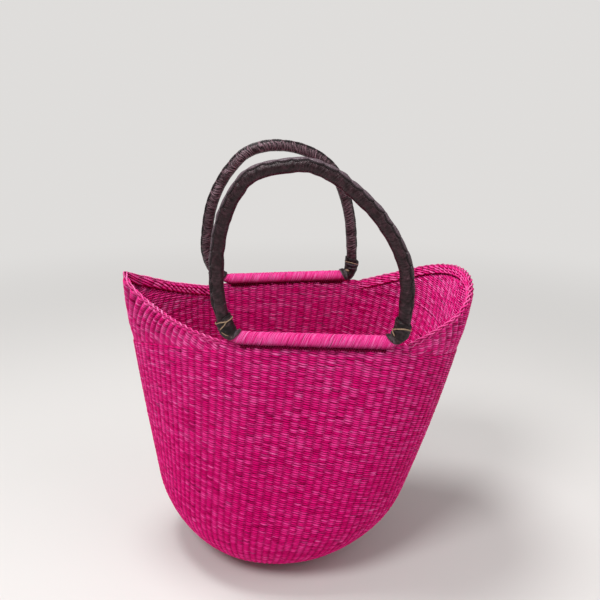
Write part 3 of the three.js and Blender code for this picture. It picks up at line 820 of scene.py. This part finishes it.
def upright_stakes():
    """The stakes inside the weave, which lean with the ribs in the wings"""
    bundle = Bundle(4)
    for stake in range(STAKES):
        body = framed(meridian, np.full(len(STAKE_CLIMBS), stake / STAKES), STAKE_CLIMBS, WALL_DEPTH)
        place, height = leaned(np.full(len(STAKE_WING_CLIMBS), float(stake)),
                               lambda at: blend(wing_line(at), wing_top(at), STAKE_WING_CLIMBS))
        wing = framed(face_point, place, height, WING_DEPTH)
        centre, out = (np.vstack([low, high]) for low, high in zip(body[:2], wing[:2]))
        # The stakes get a low tone and painted shade, as they lie inside the weave
        tube(bundle, centre, out, *STAKE_HALVES, {"tone": 0.25, "painted_shade": 0.5})
    return bundle


# The chain along the rim: its two strands, and the one that goes down into the weave beside each stake
RIM_RADIUS = 1.0 * MM
RIM_WIDTH = 1.1 * RIM_RADIUS
DIVE_RADIUS = 0.8 * RIM_RADIUS
RIM_SAMPLES = 12
RIM_TAPER = (-0.5, 0.8)
# In the chain and the diving strand, glint is a painted highlight, and hollow and edges painted shade
CHAIN = {"swing": 2.0 * MM, "swing_varies": 0.1, "crossing": 0.8 * MM, "lift": 1.1 * MM,
         "lift_varies": 0.2 * MM, "thick_varies": 0.08, "tone": 0.55, "tone_varies": 0.13, "glint": 0.4,
         "hollow": 0.3, "edges": 0.6}
DIVE = {"depth": 2.2 * MM, "shift": 0.2, "out": 1.7 * MM, "swing": 0.6 * MM, "swing_varies": 0.15 * MM,
        "tone": 0.4, "tone_varies": 0.12, "glint": 0.3, "hollow": 0.3, "edges": 0.5}


def rim_line(side):
    """The top edge of a wing: its stakes, the points in the middle of the wall, and the level and upward
    directions square to it"""
    stakes = unrolled(RIM_SAMPLES)
    place, height = leaned(stakes, wing_top)
    on_side = toward_tip(place)[1] == (side == "left")
    some = max(runs(wing_zone(place, RIM_SETBACK) & on_side), key=lambda run: run.stop - run.start)
    edge = framed(face_point, place[some], height[some], WING_DEPTH)[0]
    along = unit(np.gradient(edge, axis=0))
    level = unit(np.cross(along, np.array([0, 0, 1.0])))
    return stakes[some], edge, level, np.cross(level, along)


def rim(rng, side):
    """The chain along a wing's top edge: two strands that cross at each stake and leave an eye between.
    A strand goes down into the weave beside each stake."""
    bundle = Bundle(8)
    stakes, edge, level, lift = rim_line(side)

    def lay(look, swing, rise, out, half_out, half_wide, painted_shade):
        tone = look["tone"] + wander(rng, stakes, look["tone_varies"])
        tube(bundle, edge + level * swing[:, None] + lift * rise[:, None], out, half_out, half_wide,
             strand_looks(bundle.sides, tone, look["hollow"] * painted_shade, look["glint"], look["edges"],
                          look["edges"]))
    for strand in (0, 1):
        phase = np.pi * (stakes + strand)
        taper = ends_taper(stakes, *RIM_TAPER)
        thick = 1 + wander(rng, stakes, CHAIN["thick_varies"])
        swing = CHAIN["swing"] * np.sin(phase) * taper * (1 + wander(rng, stakes, CHAIN["swing_varies"]))
        rise = CHAIN["lift"] + CHAIN["crossing"] * np.cos(phase) + wander(rng, stakes, CHAIN["lift_varies"])
        # Painted shade where each strand dips under the other
        lay(CHAIN, swing, rise, lift, RIM_RADIUS * thick * taper, RIM_WIDTH * thick * taper,
            1 - np.cos(phase))
    for face in (-1, 1):
        rise = -DIVE["depth"] * (0.5 - 0.5 * np.cos(2 * np.pi * (stakes - face * DIVE["shift"])))
        swing = face * (DIVE["out"] + DIVE["swing"] * np.cos(2 * np.pi * stakes))
        swing = swing + wander(rng, stakes, DIVE["swing_varies"])
        # The diving strand is painted with shade as it goes into the weave
        lay(DIVE, swing, rise, level * face, DIVE_RADIUS, RIM_WIDTH, 1)
    return bundle


# Hoops

def hoop_line(hoop):
    half = BAR_LENGTH / 2
    arch = [(across * hoop["half_width"], 0, up * hoop["height"]) for across, up in hoop["arch_shares"]]
    return Line([(half, 0, 0), *arch, (-half, 0, 0)])


HOOP_STEP = 0.5 * MM
STRAIGHT_LENGTH = 6 * MM
AHEAD, ACROSS = np.eye(3)[:2]


def turned(hoop, directions):
    return to_world(hoop, directions) - to_world(hoop, 0 * directions)


def on_hoop(hoop, line, distance, turn, radius):
    """Points round a hoop's line, each at its own distance along it, and the directions away from the line.
    Past its ends the line runs straight, along the bar."""
    inside = np.clip(distance, 0, line.length)
    along = line.at(np.minimum(inside + HOOP_STEP, line.length)) - line.at(np.maximum(inside - HOOP_STEP, 0))
    curved = smoothstep(np.minimum(inside, line.length - inside), 0, STRAIGHT_LENGTH)[..., None]
    along = unit(blend(AHEAD, unit(along), curved))
    centre = line.at(inside) + along * (distance - inside)[..., None]
    away = np.cross(ACROSS, along) * np.cos(turn)[..., None] + ACROSS * np.sin(turn)[..., None]
    return to_world(hoop, centre + away * (radius + 0 * turn)[..., None]), turned(hoop, away)


def fibre_round(distance, turn):
    return np.stack([distance + 0 * turn, GRIP_RADIUS * np.cos(turn), GRIP_RADIUS * np.sin(turn)], axis=-1)


# Where along a hoop's corner it is slimmer, and by how much on its outside and in its fold
PINCH_START, PINCH_END = mm(-5, 4), mm(6, 16)
OUTSIDE_PINCH, FOLD_PINCH = mm(2.3, 1.2)


def corner_pinch(distance, turn):
    near = smoothstep(distance, *PINCH_START) * (1 - smoothstep(distance, *PINCH_END))
    facing = np.cos(turn)
    return near * np.where(facing > 0, OUTSIDE_PINCH, FOLD_PINCH) * facing ** 2


# The lip of the sleeve, by angle round the grip, and the stitches that draw it into scallops
LIP_START, LIP_EDGE, LIP_SCALLOP = math.radians(-14), math.radians(34), math.radians(22)
LIP_RISE, LIP_DROP, LIP_VARIES = 0.3, (-0.05, 0.03), math.radians(2.5)
LIP_HEIGHT, LIP_LEAST = 1.5 * MM, 0.7
GROOVE_DEPTH, GROOVE_PLACE, GROOVE_WIDTH, GROOVE_REACH = 1.1 * MM, 0.1, 0.1, (1.25, 0.75)
STITCH, STITCH_SHAPE, STITCH_MIDDLE = 15.5 * MM, 0.6, 0.6
# Painted shade in the groove beside the lip, and how dark the seam is
GROOVE_DARK, SEAM_DARK = 1.1, 0.95
SEAM_PLACE, SEAM_WIDTHS, SEAM_PULL, SEAM_DEPTH = -0.3, (0.08, 0.3), (0.25, 0.75), 0.3 * MM
SLEEVE_STEP = 0.42 * MM
SLEEVE_SIDES = 64
SIDES_AT_LIP = 0.55
LUMP_TURN = 2.0

# How far from the feet the sleeve is worn smooth and its lip pale, and each sleeve's looks
WORN_REACH = (FOOT_LEG_LENGTH, FOOT_LEG_LENGTH + 22 * MM)
PALE_REACH = (FOOT_LEG_LENGTH + 25 * MM, FOOT_LEG_LENGTH + 110 * MM)
# Looks: shade is painted shade in the wrinkles' valleys, ridge a painted highlight on their ridges
SLEEVES = {
    "front": {"wrinkle": 0.12 * MM, "lump": 0.21 * MM, "edge": 0.8, "shade": 0.22, "ridge": 0.15, "seam": 0},
    "rear": {"wrinkle": 0.45 * MM, "lump": 0.11 * MM, "edge": 0.1, "shade": 0.8, "ridge": 0.85, "seam": 1},
}

# Three sets of wrinkles: how far apart they are, how strong, and how far they slant round the grip
WRINKLES = ((2.9 * MM, 1.0, 0.0), (4.1 * MM, 0.6, 1.6 * MM), (6.3 * MM, 0.6, -2.4 * MM))
WRINKLE_BEND, WRINKLE_MIDDLE, WRINKLE_SIDE = 1.6 * MM, 0.64, 0.6
WRINKLE_STRENGTH, WRINKLE_VARIES, WRINKLE_MOST = 0.65, 0.45, 1.4
VALLEY_SHARPNESS, RIDGE_SHARPNESS = 2.5, 4


def stitch_pull(distance):
    """0 where a stitch draws the lip in, 1 midway between two"""
    return np.abs(np.sin(np.pi * distance / STITCH)) ** STITCH_SHAPE


def wrinkles(rng, along, turn):
    """How far the wrinkles raise the leather, and how strong their valleys and ridges are"""
    def drift(size, spacing):
        return wander(rng, along[:, 0], size, spacing)[:, None]
    bend = WRINKLE_BEND * np.sin(turn * 2 + drift(size=1.2, spacing=16 * MM))
    reach = 0.5 + 0.5 * np.cos(turn / 2 + WRINKLE_SIDE) ** 2
    height, valleys, ridges = 0, 0, 0
    for period, size, slant in WRINKLES:
        strength = WRINKLE_STRENGTH + WRINKLE_VARIES * drift(size=1, spacing=8 * MM)
        strength = size * reach * np.clip(strength, 0, WRINKLE_MOST)
        phase = drift(size=1.2, spacing=5 * MM)
        wave = np.abs(np.sin(np.pi * (along + bend + slant * turn) / period + phase))
        height = height + strength * (wave - WRINKLE_MIDDLE)
        valleys = valleys + strength * (1 - wave) ** VALLEY_SHARPNESS
        ridges = ridges + strength * wave ** RIDGE_SHARPNESS / 2
    return height, valleys, ridges


def sleeve(rng, name, hoop, line):
    """Leather sewn round the arch. Its cut edges overlap in a lip that the stitches draw into scallops."""
    look = SLEEVES[name]
    distance = np.arange(FOOT_FLARE_LENGTH, line.length - FOOT_FLARE_LENGTH, SLEEVE_STEP)
    along = distance[:, None]
    turn = 2 * np.pi * np.arange(SLEEVE_SIDES) / SLEEVE_SIDES - np.pi
    turn = turn - SIDES_AT_LIP * np.sin(turn - LIP_EDGE) + 0 * along
    pull = stitch_pull(along)
    from_foot = np.minimum(along, line.length - along)
    worn = smoothstep(from_foot, *WORN_REACH)
    edge = LIP_EDGE + LIP_SCALLOP * (pull - STITCH_MIDDLE)
    edge = edge + LIP_VARIES * wander(rng, distance, spacing=9 * MM)[:, None]
    raised = smoothstep(turn, LIP_START, LIP_START + LIP_RISE)
    raised = raised * (1 - smoothstep(turn, *(edge + reach for reach in LIP_DROP)))
    groove = np.exp(-((turn - edge - GROOVE_PLACE) / GROOVE_WIDTH) ** 2) * blend(*GROOVE_REACH, pull)
    lump = wander(rng, distance, spacing=11 * MM)[:, None] * np.sin(turn + LUMP_TURN)
    lump = lump + wander(rng, distance, spacing=7 * MM)[:, None]
    height, valleys, ridges = wrinkles(rng, along, turn)
    notch = smoothstep(pull, *SEAM_PULL)
    seam = np.exp(-((turn - SEAM_PLACE) / blend(*SEAM_WIDTHS, notch)) ** 4) * notch * look["seam"]
    radius = GRIP_RADIUS + look["lump"] * lump + look["wrinkle"] * height - SEAM_DEPTH * seam
    radius = radius + worn * (LIP_HEIGHT * raised * blend(LIP_LEAST, 1, pull) - GROOVE_DEPTH * groove)
    rings = on_hoop(hoop, line, along + 0 * turn, turn * hoop["outward"], radius)[0]
    # Painted shade in the groove and the wrinkles' valleys, together with the dark seam
    crease = np.clip(GROOVE_DARK * worn * groove + look["shade"] * valleys + SEAM_DARK * seam, 0, 1)
    bundle = Bundle(SLEEVE_SIDES)
    # ridge is a painted highlight on the wrinkles' ridges
    bundle.add(rings, fibre_round(along, turn), {
        "edge": smoothstep(from_foot, *PALE_REACH) * raised * look["edge"],
        "crease": crease, "ridge": np.clip(look["ridge"] * ridges, 0, 1)}, flipped=hoop["outward"] < 0)
    return bundle


def foot_radius(distance, turn):
    radius = blend(BAR_RADIUS, GRIP_RADIUS, smoothstep(distance, 0, FOOT_FLARE_LENGTH))
    return radius + FOOT_GAP + FOOT_LEATHER - corner_pinch(distance, turn)


# Where each foot's leather is cut, past the bar's end, how far its edge slants there and how pale it is
FEET = {
    "front_left": {"start": 3.7 * MM, "slant": 8.6 * MM, "pale": 0.25},
    "front_right": {"start": 4.0 * MM, "slant": 10 * MM, "pale": 0.1},
    "rear_left": {"start": 8 * MM, "slant": 4 * MM, "pale": 0.2},
    "rear_right": {"start": -3.5 * MM, "slant": 5.2 * MM, "pale": 0.9},
}
FOOT_TOP_SLANT = 3.5 * MM
FOOT_SIDES = 72
FOOT_STEP = 0.5 * MM

# The reaches of each fold's place along the foot, its width, its height, its slant and its side
FOLDS = 13
FOLD_REACHES = (mm(-4, 32), mm(0.8, 1.7), mm(0.35, 0.95), mm(-6, 6), (0, 2 * np.pi))
FOLD_HEIGHT, FOLD_FAR_SIDE = 0.8, 0.25


def foot_surface(rng):
    """The height of a foot's folds, which fan out from the inside of the corner"""
    folds = [[rng.uniform(*reach) for reach in FOLD_REACHES] for _ in range(FOLDS)]

    def height(distance, turn):
        total = 0
        for place, width, size, slant, side in folds:
            ridge = np.exp(-((distance - place - slant * np.sin(turn)) / width) ** 2)
            total = total + size * ridge * blend(FOLD_FAR_SIDE, 1, np.cos((turn - side) / 2) ** 2)
        return total * FOLD_HEIGHT
    return height


FOOT_EDGE, FOOT_EDGE_SINK = mm(2, 0.5)
PALE_EDGE = 1.6 * MM
# Painted highlight on the folds' tops, and painted shade in the low places between them
FOLD_LIT, FOLD_LIT_HEIGHT = 0.45, 1 * MM
FOLD_DARK, FOLD_DARK_HEIGHT = 0.6, 0.3 * MM
INNER_ROW_STEP = 8


def foot_wrap(foot, hoop, line, at_start, folds):
    """Leather folded round the hoop's corner, cut on the slant where it meets the bar"""
    flat = np.arange(foot["start"], FOOT_LEG_LENGTH, FOOT_STEP)[:, None]
    turn = 2 * np.pi * np.arange(FOOT_SIDES)[None] / FOOT_SIDES + 0 * flat
    flat = flat + 0 * turn
    slant = foot["slant"] * (1 - smoothstep(flat, foot["start"], FOOT_LEG_LENGTH))
    slant = slant - FOOT_TOP_SLANT * smoothstep(flat, FOOT_FLARE_LENGTH, FOOT_LEG_LENGTH)
    distance = flat + slant * np.cos(turn)
    from_cut = flat - foot["start"]
    edges = smoothstep(from_cut, 0, FOOT_EDGE)
    edges = edges * (1 - smoothstep(flat, FOOT_LEG_LENGTH - FOOT_EDGE, FOOT_LEG_LENGTH))
    raised = folds(distance, turn)
    outer = foot_radius(distance, turn) + blend(-FOOT_EDGE_SINK, raised, edges)
    inner = foot_radius(distance, turn) - FOOT_LEATHER
    pale = foot["pale"] * np.exp(-(from_cut / PALE_EDGE) ** 2)
    # Painted highlight on the raised folds, beside the pale cut edge, and painted shade between the folds
    lit = np.maximum(FOLD_LIT * np.clip(raised / FOLD_LIT_HEIGHT, 0, 1) ** 2, pale)
    dark = FOLD_DARK * (1 - np.clip(raised / FOLD_DARK_HEIGHT, 0, 1)) * (1 - pale)
    back = slice(None, None, -INNER_ROW_STEP)

    def both(outside, inside):
        return np.concatenate([outside, inside[back]])
    along, bend = both(distance, distance), both(turn, turn)
    skin = on_hoop(hoop, line, along if at_start else line.length - along, bend, both(outer, inner))[0]
    bundle = Bundle(FOOT_SIDES)
    bundle.add(skin, fibre_round(along, bend), {
        "edge": both(lit, 0 * lit), "crease": both(dark, 0 * dark), "ridge": 0 * bend},
        closed=True, flipped=not at_start)
    return bundle


# The threads on each foot: how thick each is, and its places by millimetres along and degrees round
THREAD_RADIUS = 0.6 * MM
BINDINGS = {
    "front_left": [
        (1, [(27, 10), (26, -20), (28, -75), (27, -120), (28, -190), (25, -250), (23, -300), (26, -350)]),
        (1, [(27.5, -128), (26, -112), (24, -100), (22, -80), (19, -50)]),
        (0.8, [(17, -60), (14, -75), (12, -85), (10, -98)])],
    "front_right": [
        (1.1, [(17, -200), (19, -160), (22, -135), (25, -85), (24, -40), (22, 10), (20, 70), (18, 130),
               (17, 160)]),
        (1.1, [(18, -172), (16, -160), (14, -140), (12, -124)])],
    "rear_left": [
        (1, [(26, -170), (25, -110), (24, -50), (23, 10), (24, 70), (26, 130), (26, 190)]),
        (1, [(26, -110), (22, -90), (17, -80), (12, -70)])],
    "rear_right": [
        (0.8, [(26, -195), (26, -150), (26, -120), (24, -65), (22, -20), (22, 40), (24, 110), (26, 165)]),
        (2.2, [(12.5, -146), (12, -128), (12.5, -108)])],
}


BINDING_STEP, BINDING_ENDS = 0.8 * MM, (-2, 3)
BINDING_WIDTH, BINDING_RISE, FOLD_RISE = 1.15, 0.7, 0.9


def foot_binding(key, hoop, line, at_start, folds):
    """Thread laid over a foot's folds, in stretches of their own thickness"""
    bundle = Bundle(6)
    for size, places in BINDINGS[key]:
        path = Line([(along * MM, math.radians(degrees) * GRIP_RADIUS) for along, degrees in places])
        points = path.at(np.arange(0, path.length, BINDING_STEP))
        distance, turn = points[:, 0], points[:, 1] / GRIP_RADIUS
        radius = size * THREAD_RADIUS
        height = foot_radius(distance, turn) + folds(distance, turn) * FOLD_RISE + radius * BINDING_RISE
        ends = ends_taper(np.arange(len(points)), *BINDING_ENDS)
        middle = on_hoop(hoop, line, distance if at_start else line.length - distance, turn, height)
        tube(bundle, *middle, radius * ends, radius * BINDING_WIDTH * ends, {"tone": 0.5, "painted_shade": 0.0})
    return bundle


SEAM_THREAD_RADIUS = 0.45 * MM
SEAM_THREAD_START = FOOT_LEG_LENGTH + 14 * MM
SEAM_THREAD_TURN = LIP_EDGE + math.radians(6)
SEAM_THREAD_DEPTH, SEAM_THREAD_RISE = mm(0.75, 0.5)


def seam_thread(hoop, line):
    """The sewing thread: it runs in the groove beside the lip and dips under it at each scallop"""
    bundle = Bundle(6)
    distance = np.arange(SEAM_THREAD_START, line.length - SEAM_THREAD_START, BINDING_STEP)
    pull = stitch_pull(distance)
    turn = (SEAM_THREAD_TURN + LIP_SCALLOP * (pull - STITCH_MIDDLE)) * hoop["outward"]
    radius = GRIP_RADIUS - SEAM_THREAD_DEPTH + SEAM_THREAD_RISE * pull
    tube(bundle, *on_hoop(hoop, line, distance, turn, radius), SEAM_THREAD_RADIUS, SEAM_THREAD_RADIUS,
         {"tone": 0.5, "painted_shade": 0.0})
    return bundle


WINDING_STARTS = 20
WINDING_SPACING = 1.0 * MM
WINDING_HALF = mm(0.85, 0.72)
WINDING_STEPS = 18
WINDING_PAST = 13 * MM
# The strands' tone, painted highlight on their upper edges and painted shade on their edges
WINDING_TONE, WINDING_GLINT, WINDING_EDGES = 0.56, 0.3, 0.7
UNDERSIDE_SHADE, UNDERSIDE_REACH = 0.8, (0.0, 0.9)


def bar_winding(rng, hoop, line):
    """Fine grass strands wound side by side round the bar, a little way round the corners too"""
    bundle = Bundle(6)
    pitch = WINDING_STARTS * WINDING_SPACING
    turns = (BAR_LENGTH + 2 * WINDING_PAST) / pitch
    along = np.arange(0, turns, 1 / WINDING_STEPS)
    for start in range(WINDING_STARTS):
        turn = np.pi / 2 - 2 * np.pi * (along + start / WINDING_STARTS)
        x = (along - turns / 2) * pitch + wander(rng, along, size=0.24 * MM, spacing=0.3)
        past_end = np.abs(x) - BAR_LENGTH / 2
        seat = BAR_RADIUS - WINDING_HALF[0] + wander(rng, along, size=0.22 * MM, spacing=0.3)
        tone = WINDING_TONE + wander(rng, along, size=0.1, spacing=0.25)
        thick = 1 + wander(rng, along, size=0.1, spacing=0.4)
        # Painted shade on the bar's underside
        painted_shade = UNDERSIDE_SHADE * smoothstep(np.cos(turn), *UNDERSIDE_REACH)
        middle = on_hoop(hoop, line, np.where(x > 0, past_end, line.length - past_end), turn,
                         seat - corner_pinch(past_end, turn))
        tube(bundle, *middle, WINDING_HALF[0] * thick, WINDING_HALF[1] * thick,
             strand_looks(bundle.sides, tone, painted_shade, WINDING_GLINT, WINDING_EDGES, WINDING_EDGES))
    return bundle


LASH_STEP = 1.45 * MM
LASH_SETBACK = 4 * MM
LASH_RADIUS = 0.8 * MM
LASH_SEAT = BAR_RADIUS + 0.25 * MM
# The lashing gets a low tone and full painted shade, for the bar's shadow over it
LASH_TONE = 0.3

# The middle and spread of where a lashing strand bends: in degrees round the bar, and how far out of the
# wall's middle and over its top in millimetres
LASH_TURN, LASH_ROOT_OUT, LASH_ROOT_RISE = (-66, 8), (2.6, 0.2), (0.8, 0.4)


def bar_lashing(rng, hoop):
    """Strands that rise out of the wall's top rows and lie against the bar, inside and outside"""
    bundle = Bundle(6)
    count = int((BAR_LENGTH - 2 * LASH_SETBACK) / LASH_STEP)
    for side in (-1, 1):
        knots = []
        for index in range(count + 1):
            if index % 2:
                turn = math.radians(rng.normal(*LASH_TURN))
                out, rise = LASH_SEAT * math.cos(turn), LASH_SEAT * math.sin(turn)
            else:
                out = rng.normal(*LASH_ROOT_OUT) * MM
                rise = WALL_TOP - BAR_HEIGHT + rng.normal(*LASH_ROOT_RISE) * MM
            knots.append((LASH_SETBACK - BAR_LENGTH / 2 + index * LASH_STEP, side * out, rise))
        path = Line(knots, steps=8)
        out = np.broadcast_to(np.array([0, side, -0.5]), path.points.shape)
        tone = LASH_TONE + wander(rng, path.distances, size=0.14, spacing=6 * MM)
        # Painted shadow of the bar: the strands are painted wholly in shade
        tube(bundle, to_world(hoop, path.points), turned(hoop, out), LASH_RADIUS * 0.9, LASH_RADIUS,
             {"tone": tone, "painted_shade": 1.0})
    return bundle


def dress(bundle, name, material, body, slot, *nodes):
    """Makes a piece of a bundle, lets it ride on its body and hides the parts that it stands for"""
    piece = bundle.build(name, material)
    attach(piece, body)
    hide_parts(*nodes)


def basket():
    wall = PINK_GRASS, "basket", "pink_grass"
    for index, bundle in enumerate(weave_body(np.random.default_rng(11))):
        dress(bundle, f"wall_rows_{index + 1:02d}", *wall, "woven_body")
    dress(upright_stakes(), "wall_stakes", *wall, "woven_body")
    for side, bundle in weave_wings(np.random.default_rng(12)).items():
        dress(bundle, f"{side}_wing_rows", *wall, f"{side}_wing")
    dress(weave_inside(np.random.default_rng(13)), "inner_rows", *wall,
          "woven_body", "left_wing", "right_wing")
    for seed, side in enumerate(("left", "right")):
        dress(rim(np.random.default_rng(14 + seed), side), f"{side}_rim_plait", RIM_GRASS, "basket",
              "bright_grass", f"{side}_rim_border")


def hoops():
    for seed, (name, hoop) in enumerate(HOOPS.items()):
        rng = np.random.default_rng(20 + seed)
        line, body = hoop_line(hoop), f"{name}_handle"
        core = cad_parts[f"{name}_handle_core"].data.materials
        core.clear()
        core.append(STRAW)
        dress(bar_winding(rng, hoop, line), f"{name}_bar_strands", BAR_GRASS, body, "bright_grass",
              f"{name}_bar_winding")
        dress(bar_lashing(rng, hoop), f"{name}_lashing_strands", PINK_GRASS, "basket", "pink_grass",
              f"{name}_bar_lashing")
        dress(sleeve(rng, name, hoop, line), f"{name}_leather_sleeve", BROWN_LEATHER, body, "brown_leather",
              f"{name}_handle_sleeve")
        dress(seam_thread(hoop, line), f"{name}_sewing_thread", DARK_THREAD, body, "dark_thread",
              f"{name}_seam_thread")
        for side, at_start in (("left", False), ("right", True)):
            foot, folds = f"{name}_{side}", foot_surface(rng)
            dress(foot_wrap(FEET[foot], hoop, line, at_start, folds), f"{foot}_foot_leather", DARK_LEATHER,
                  body, "dark_leather", f"{foot}_foot_wrap")
            dress(foot_binding(foot, hoop, line, at_start, folds), f"{foot}_foot_thread", TAN_THREAD,
                  body, "tan_thread", f"{foot}_foot_binding")


# Stage
FLOOR_RADIUS = 15
FLOOR_FADE = (0.5, 2.0)
CAMERA_PLACE = (0.036, -0.8683, 0.6143)
CAMERA_PITCH = math.radians(17.41)
CAMERA_LENS, CAMERA_SENSOR = 42.0, 36.0
PALE = (236, 234, 232)
FLOOR_PALE = (224, 222, 220)
BACKDROP_STRENGTH = 0.88
WORLD_STRENGTH = 0.36
LAMP_AIM = (0.03, 0, 0.25)
LAMPS = {
    "key": {"place": (-1.0, -1.5, 2.4), "size": 1.0, "power": 39},
    "top": {"place": (-0.4, 0.1, 2.1), "size": 0.7, "power": 23},
    "fill": {"place": (1.7, -0.8, 1.6), "size": 1.8, "power": 12},
}


def camera():
    data = bpy.data.cameras.new("camera")
    data.lens, data.sensor_width = CAMERA_LENS, CAMERA_SENSOR
    bpy.context.scene.camera = added("camera", data, CAMERA_PLACE, (math.pi / 2 - CAMERA_PITCH, 0, 0))


def seen_rays(shader):
    """1 for the rays that show the backdrop: the camera's"""
    return shader.node("LightPath").outputs["Is Camera Ray"]


def floor():
    """A pale floor that fades into the backdrop away from the object"""
    bpy.ops.mesh.primitive_circle_add(vertices=96, radius=FLOOR_RADIUS, fill_type="NGON")
    made = bpy.context.object
    made.name = "floor"
    shader = Shader("floor")
    away = shader.node("VectorMath", {0: shader.place()}, operation="LENGTH").outputs["Value"]
    reach = {"Value": away, "From Min": FLOOR_FADE[0], "From Max": FLOOR_FADE[1]}
    fade = shader.node("MapRange", reach, interpolation_type="SMOOTHSTEP").outputs["Result"]
    far = shader.node("Emission", {"Color": socket_value(PALE), "Strength": BACKDROP_STRENGTH})
    share = shader.maths("MULTIPLY", fade, seen_rays(shader))
    near = shader.surface.outputs["BSDF"]
    both = shader.node("MixShader", {0: share, 1: near, 2: far.outputs["Emission"]})
    shader.put(shader.tree.nodes["Material Output"].inputs["Surface"], both.outputs["Shader"])
    made.data.materials.append(shader.finish(Base_Color=socket_value(FLOOR_PALE), Roughness=0.9))


def lamp(name, place, size, power):
    data = bpy.data.lights.new(name, "AREA")
    data.shape, data.size, data.energy = "DISK", size, power
    added(name, data, place, (Vector(LAMP_AIM) - Vector(place)).to_track_quat("-Z", "Y").to_euler())


def studio():
    world = Shader("studio", bpy.data.worlds)
    strength = world.ranged(seen_rays(world), WORLD_STRENGTH, BACKDROP_STRENGTH)
    bpy.context.scene.world = world.finish(Color=socket_value(PALE), Strength=strength)
    for name, look in LAMPS.items():
        lamp(name, **look)
    bpy.context.scene.view_settings.view_transform = "Standard"


camera()
floor()
studio()
basket()
hoops()
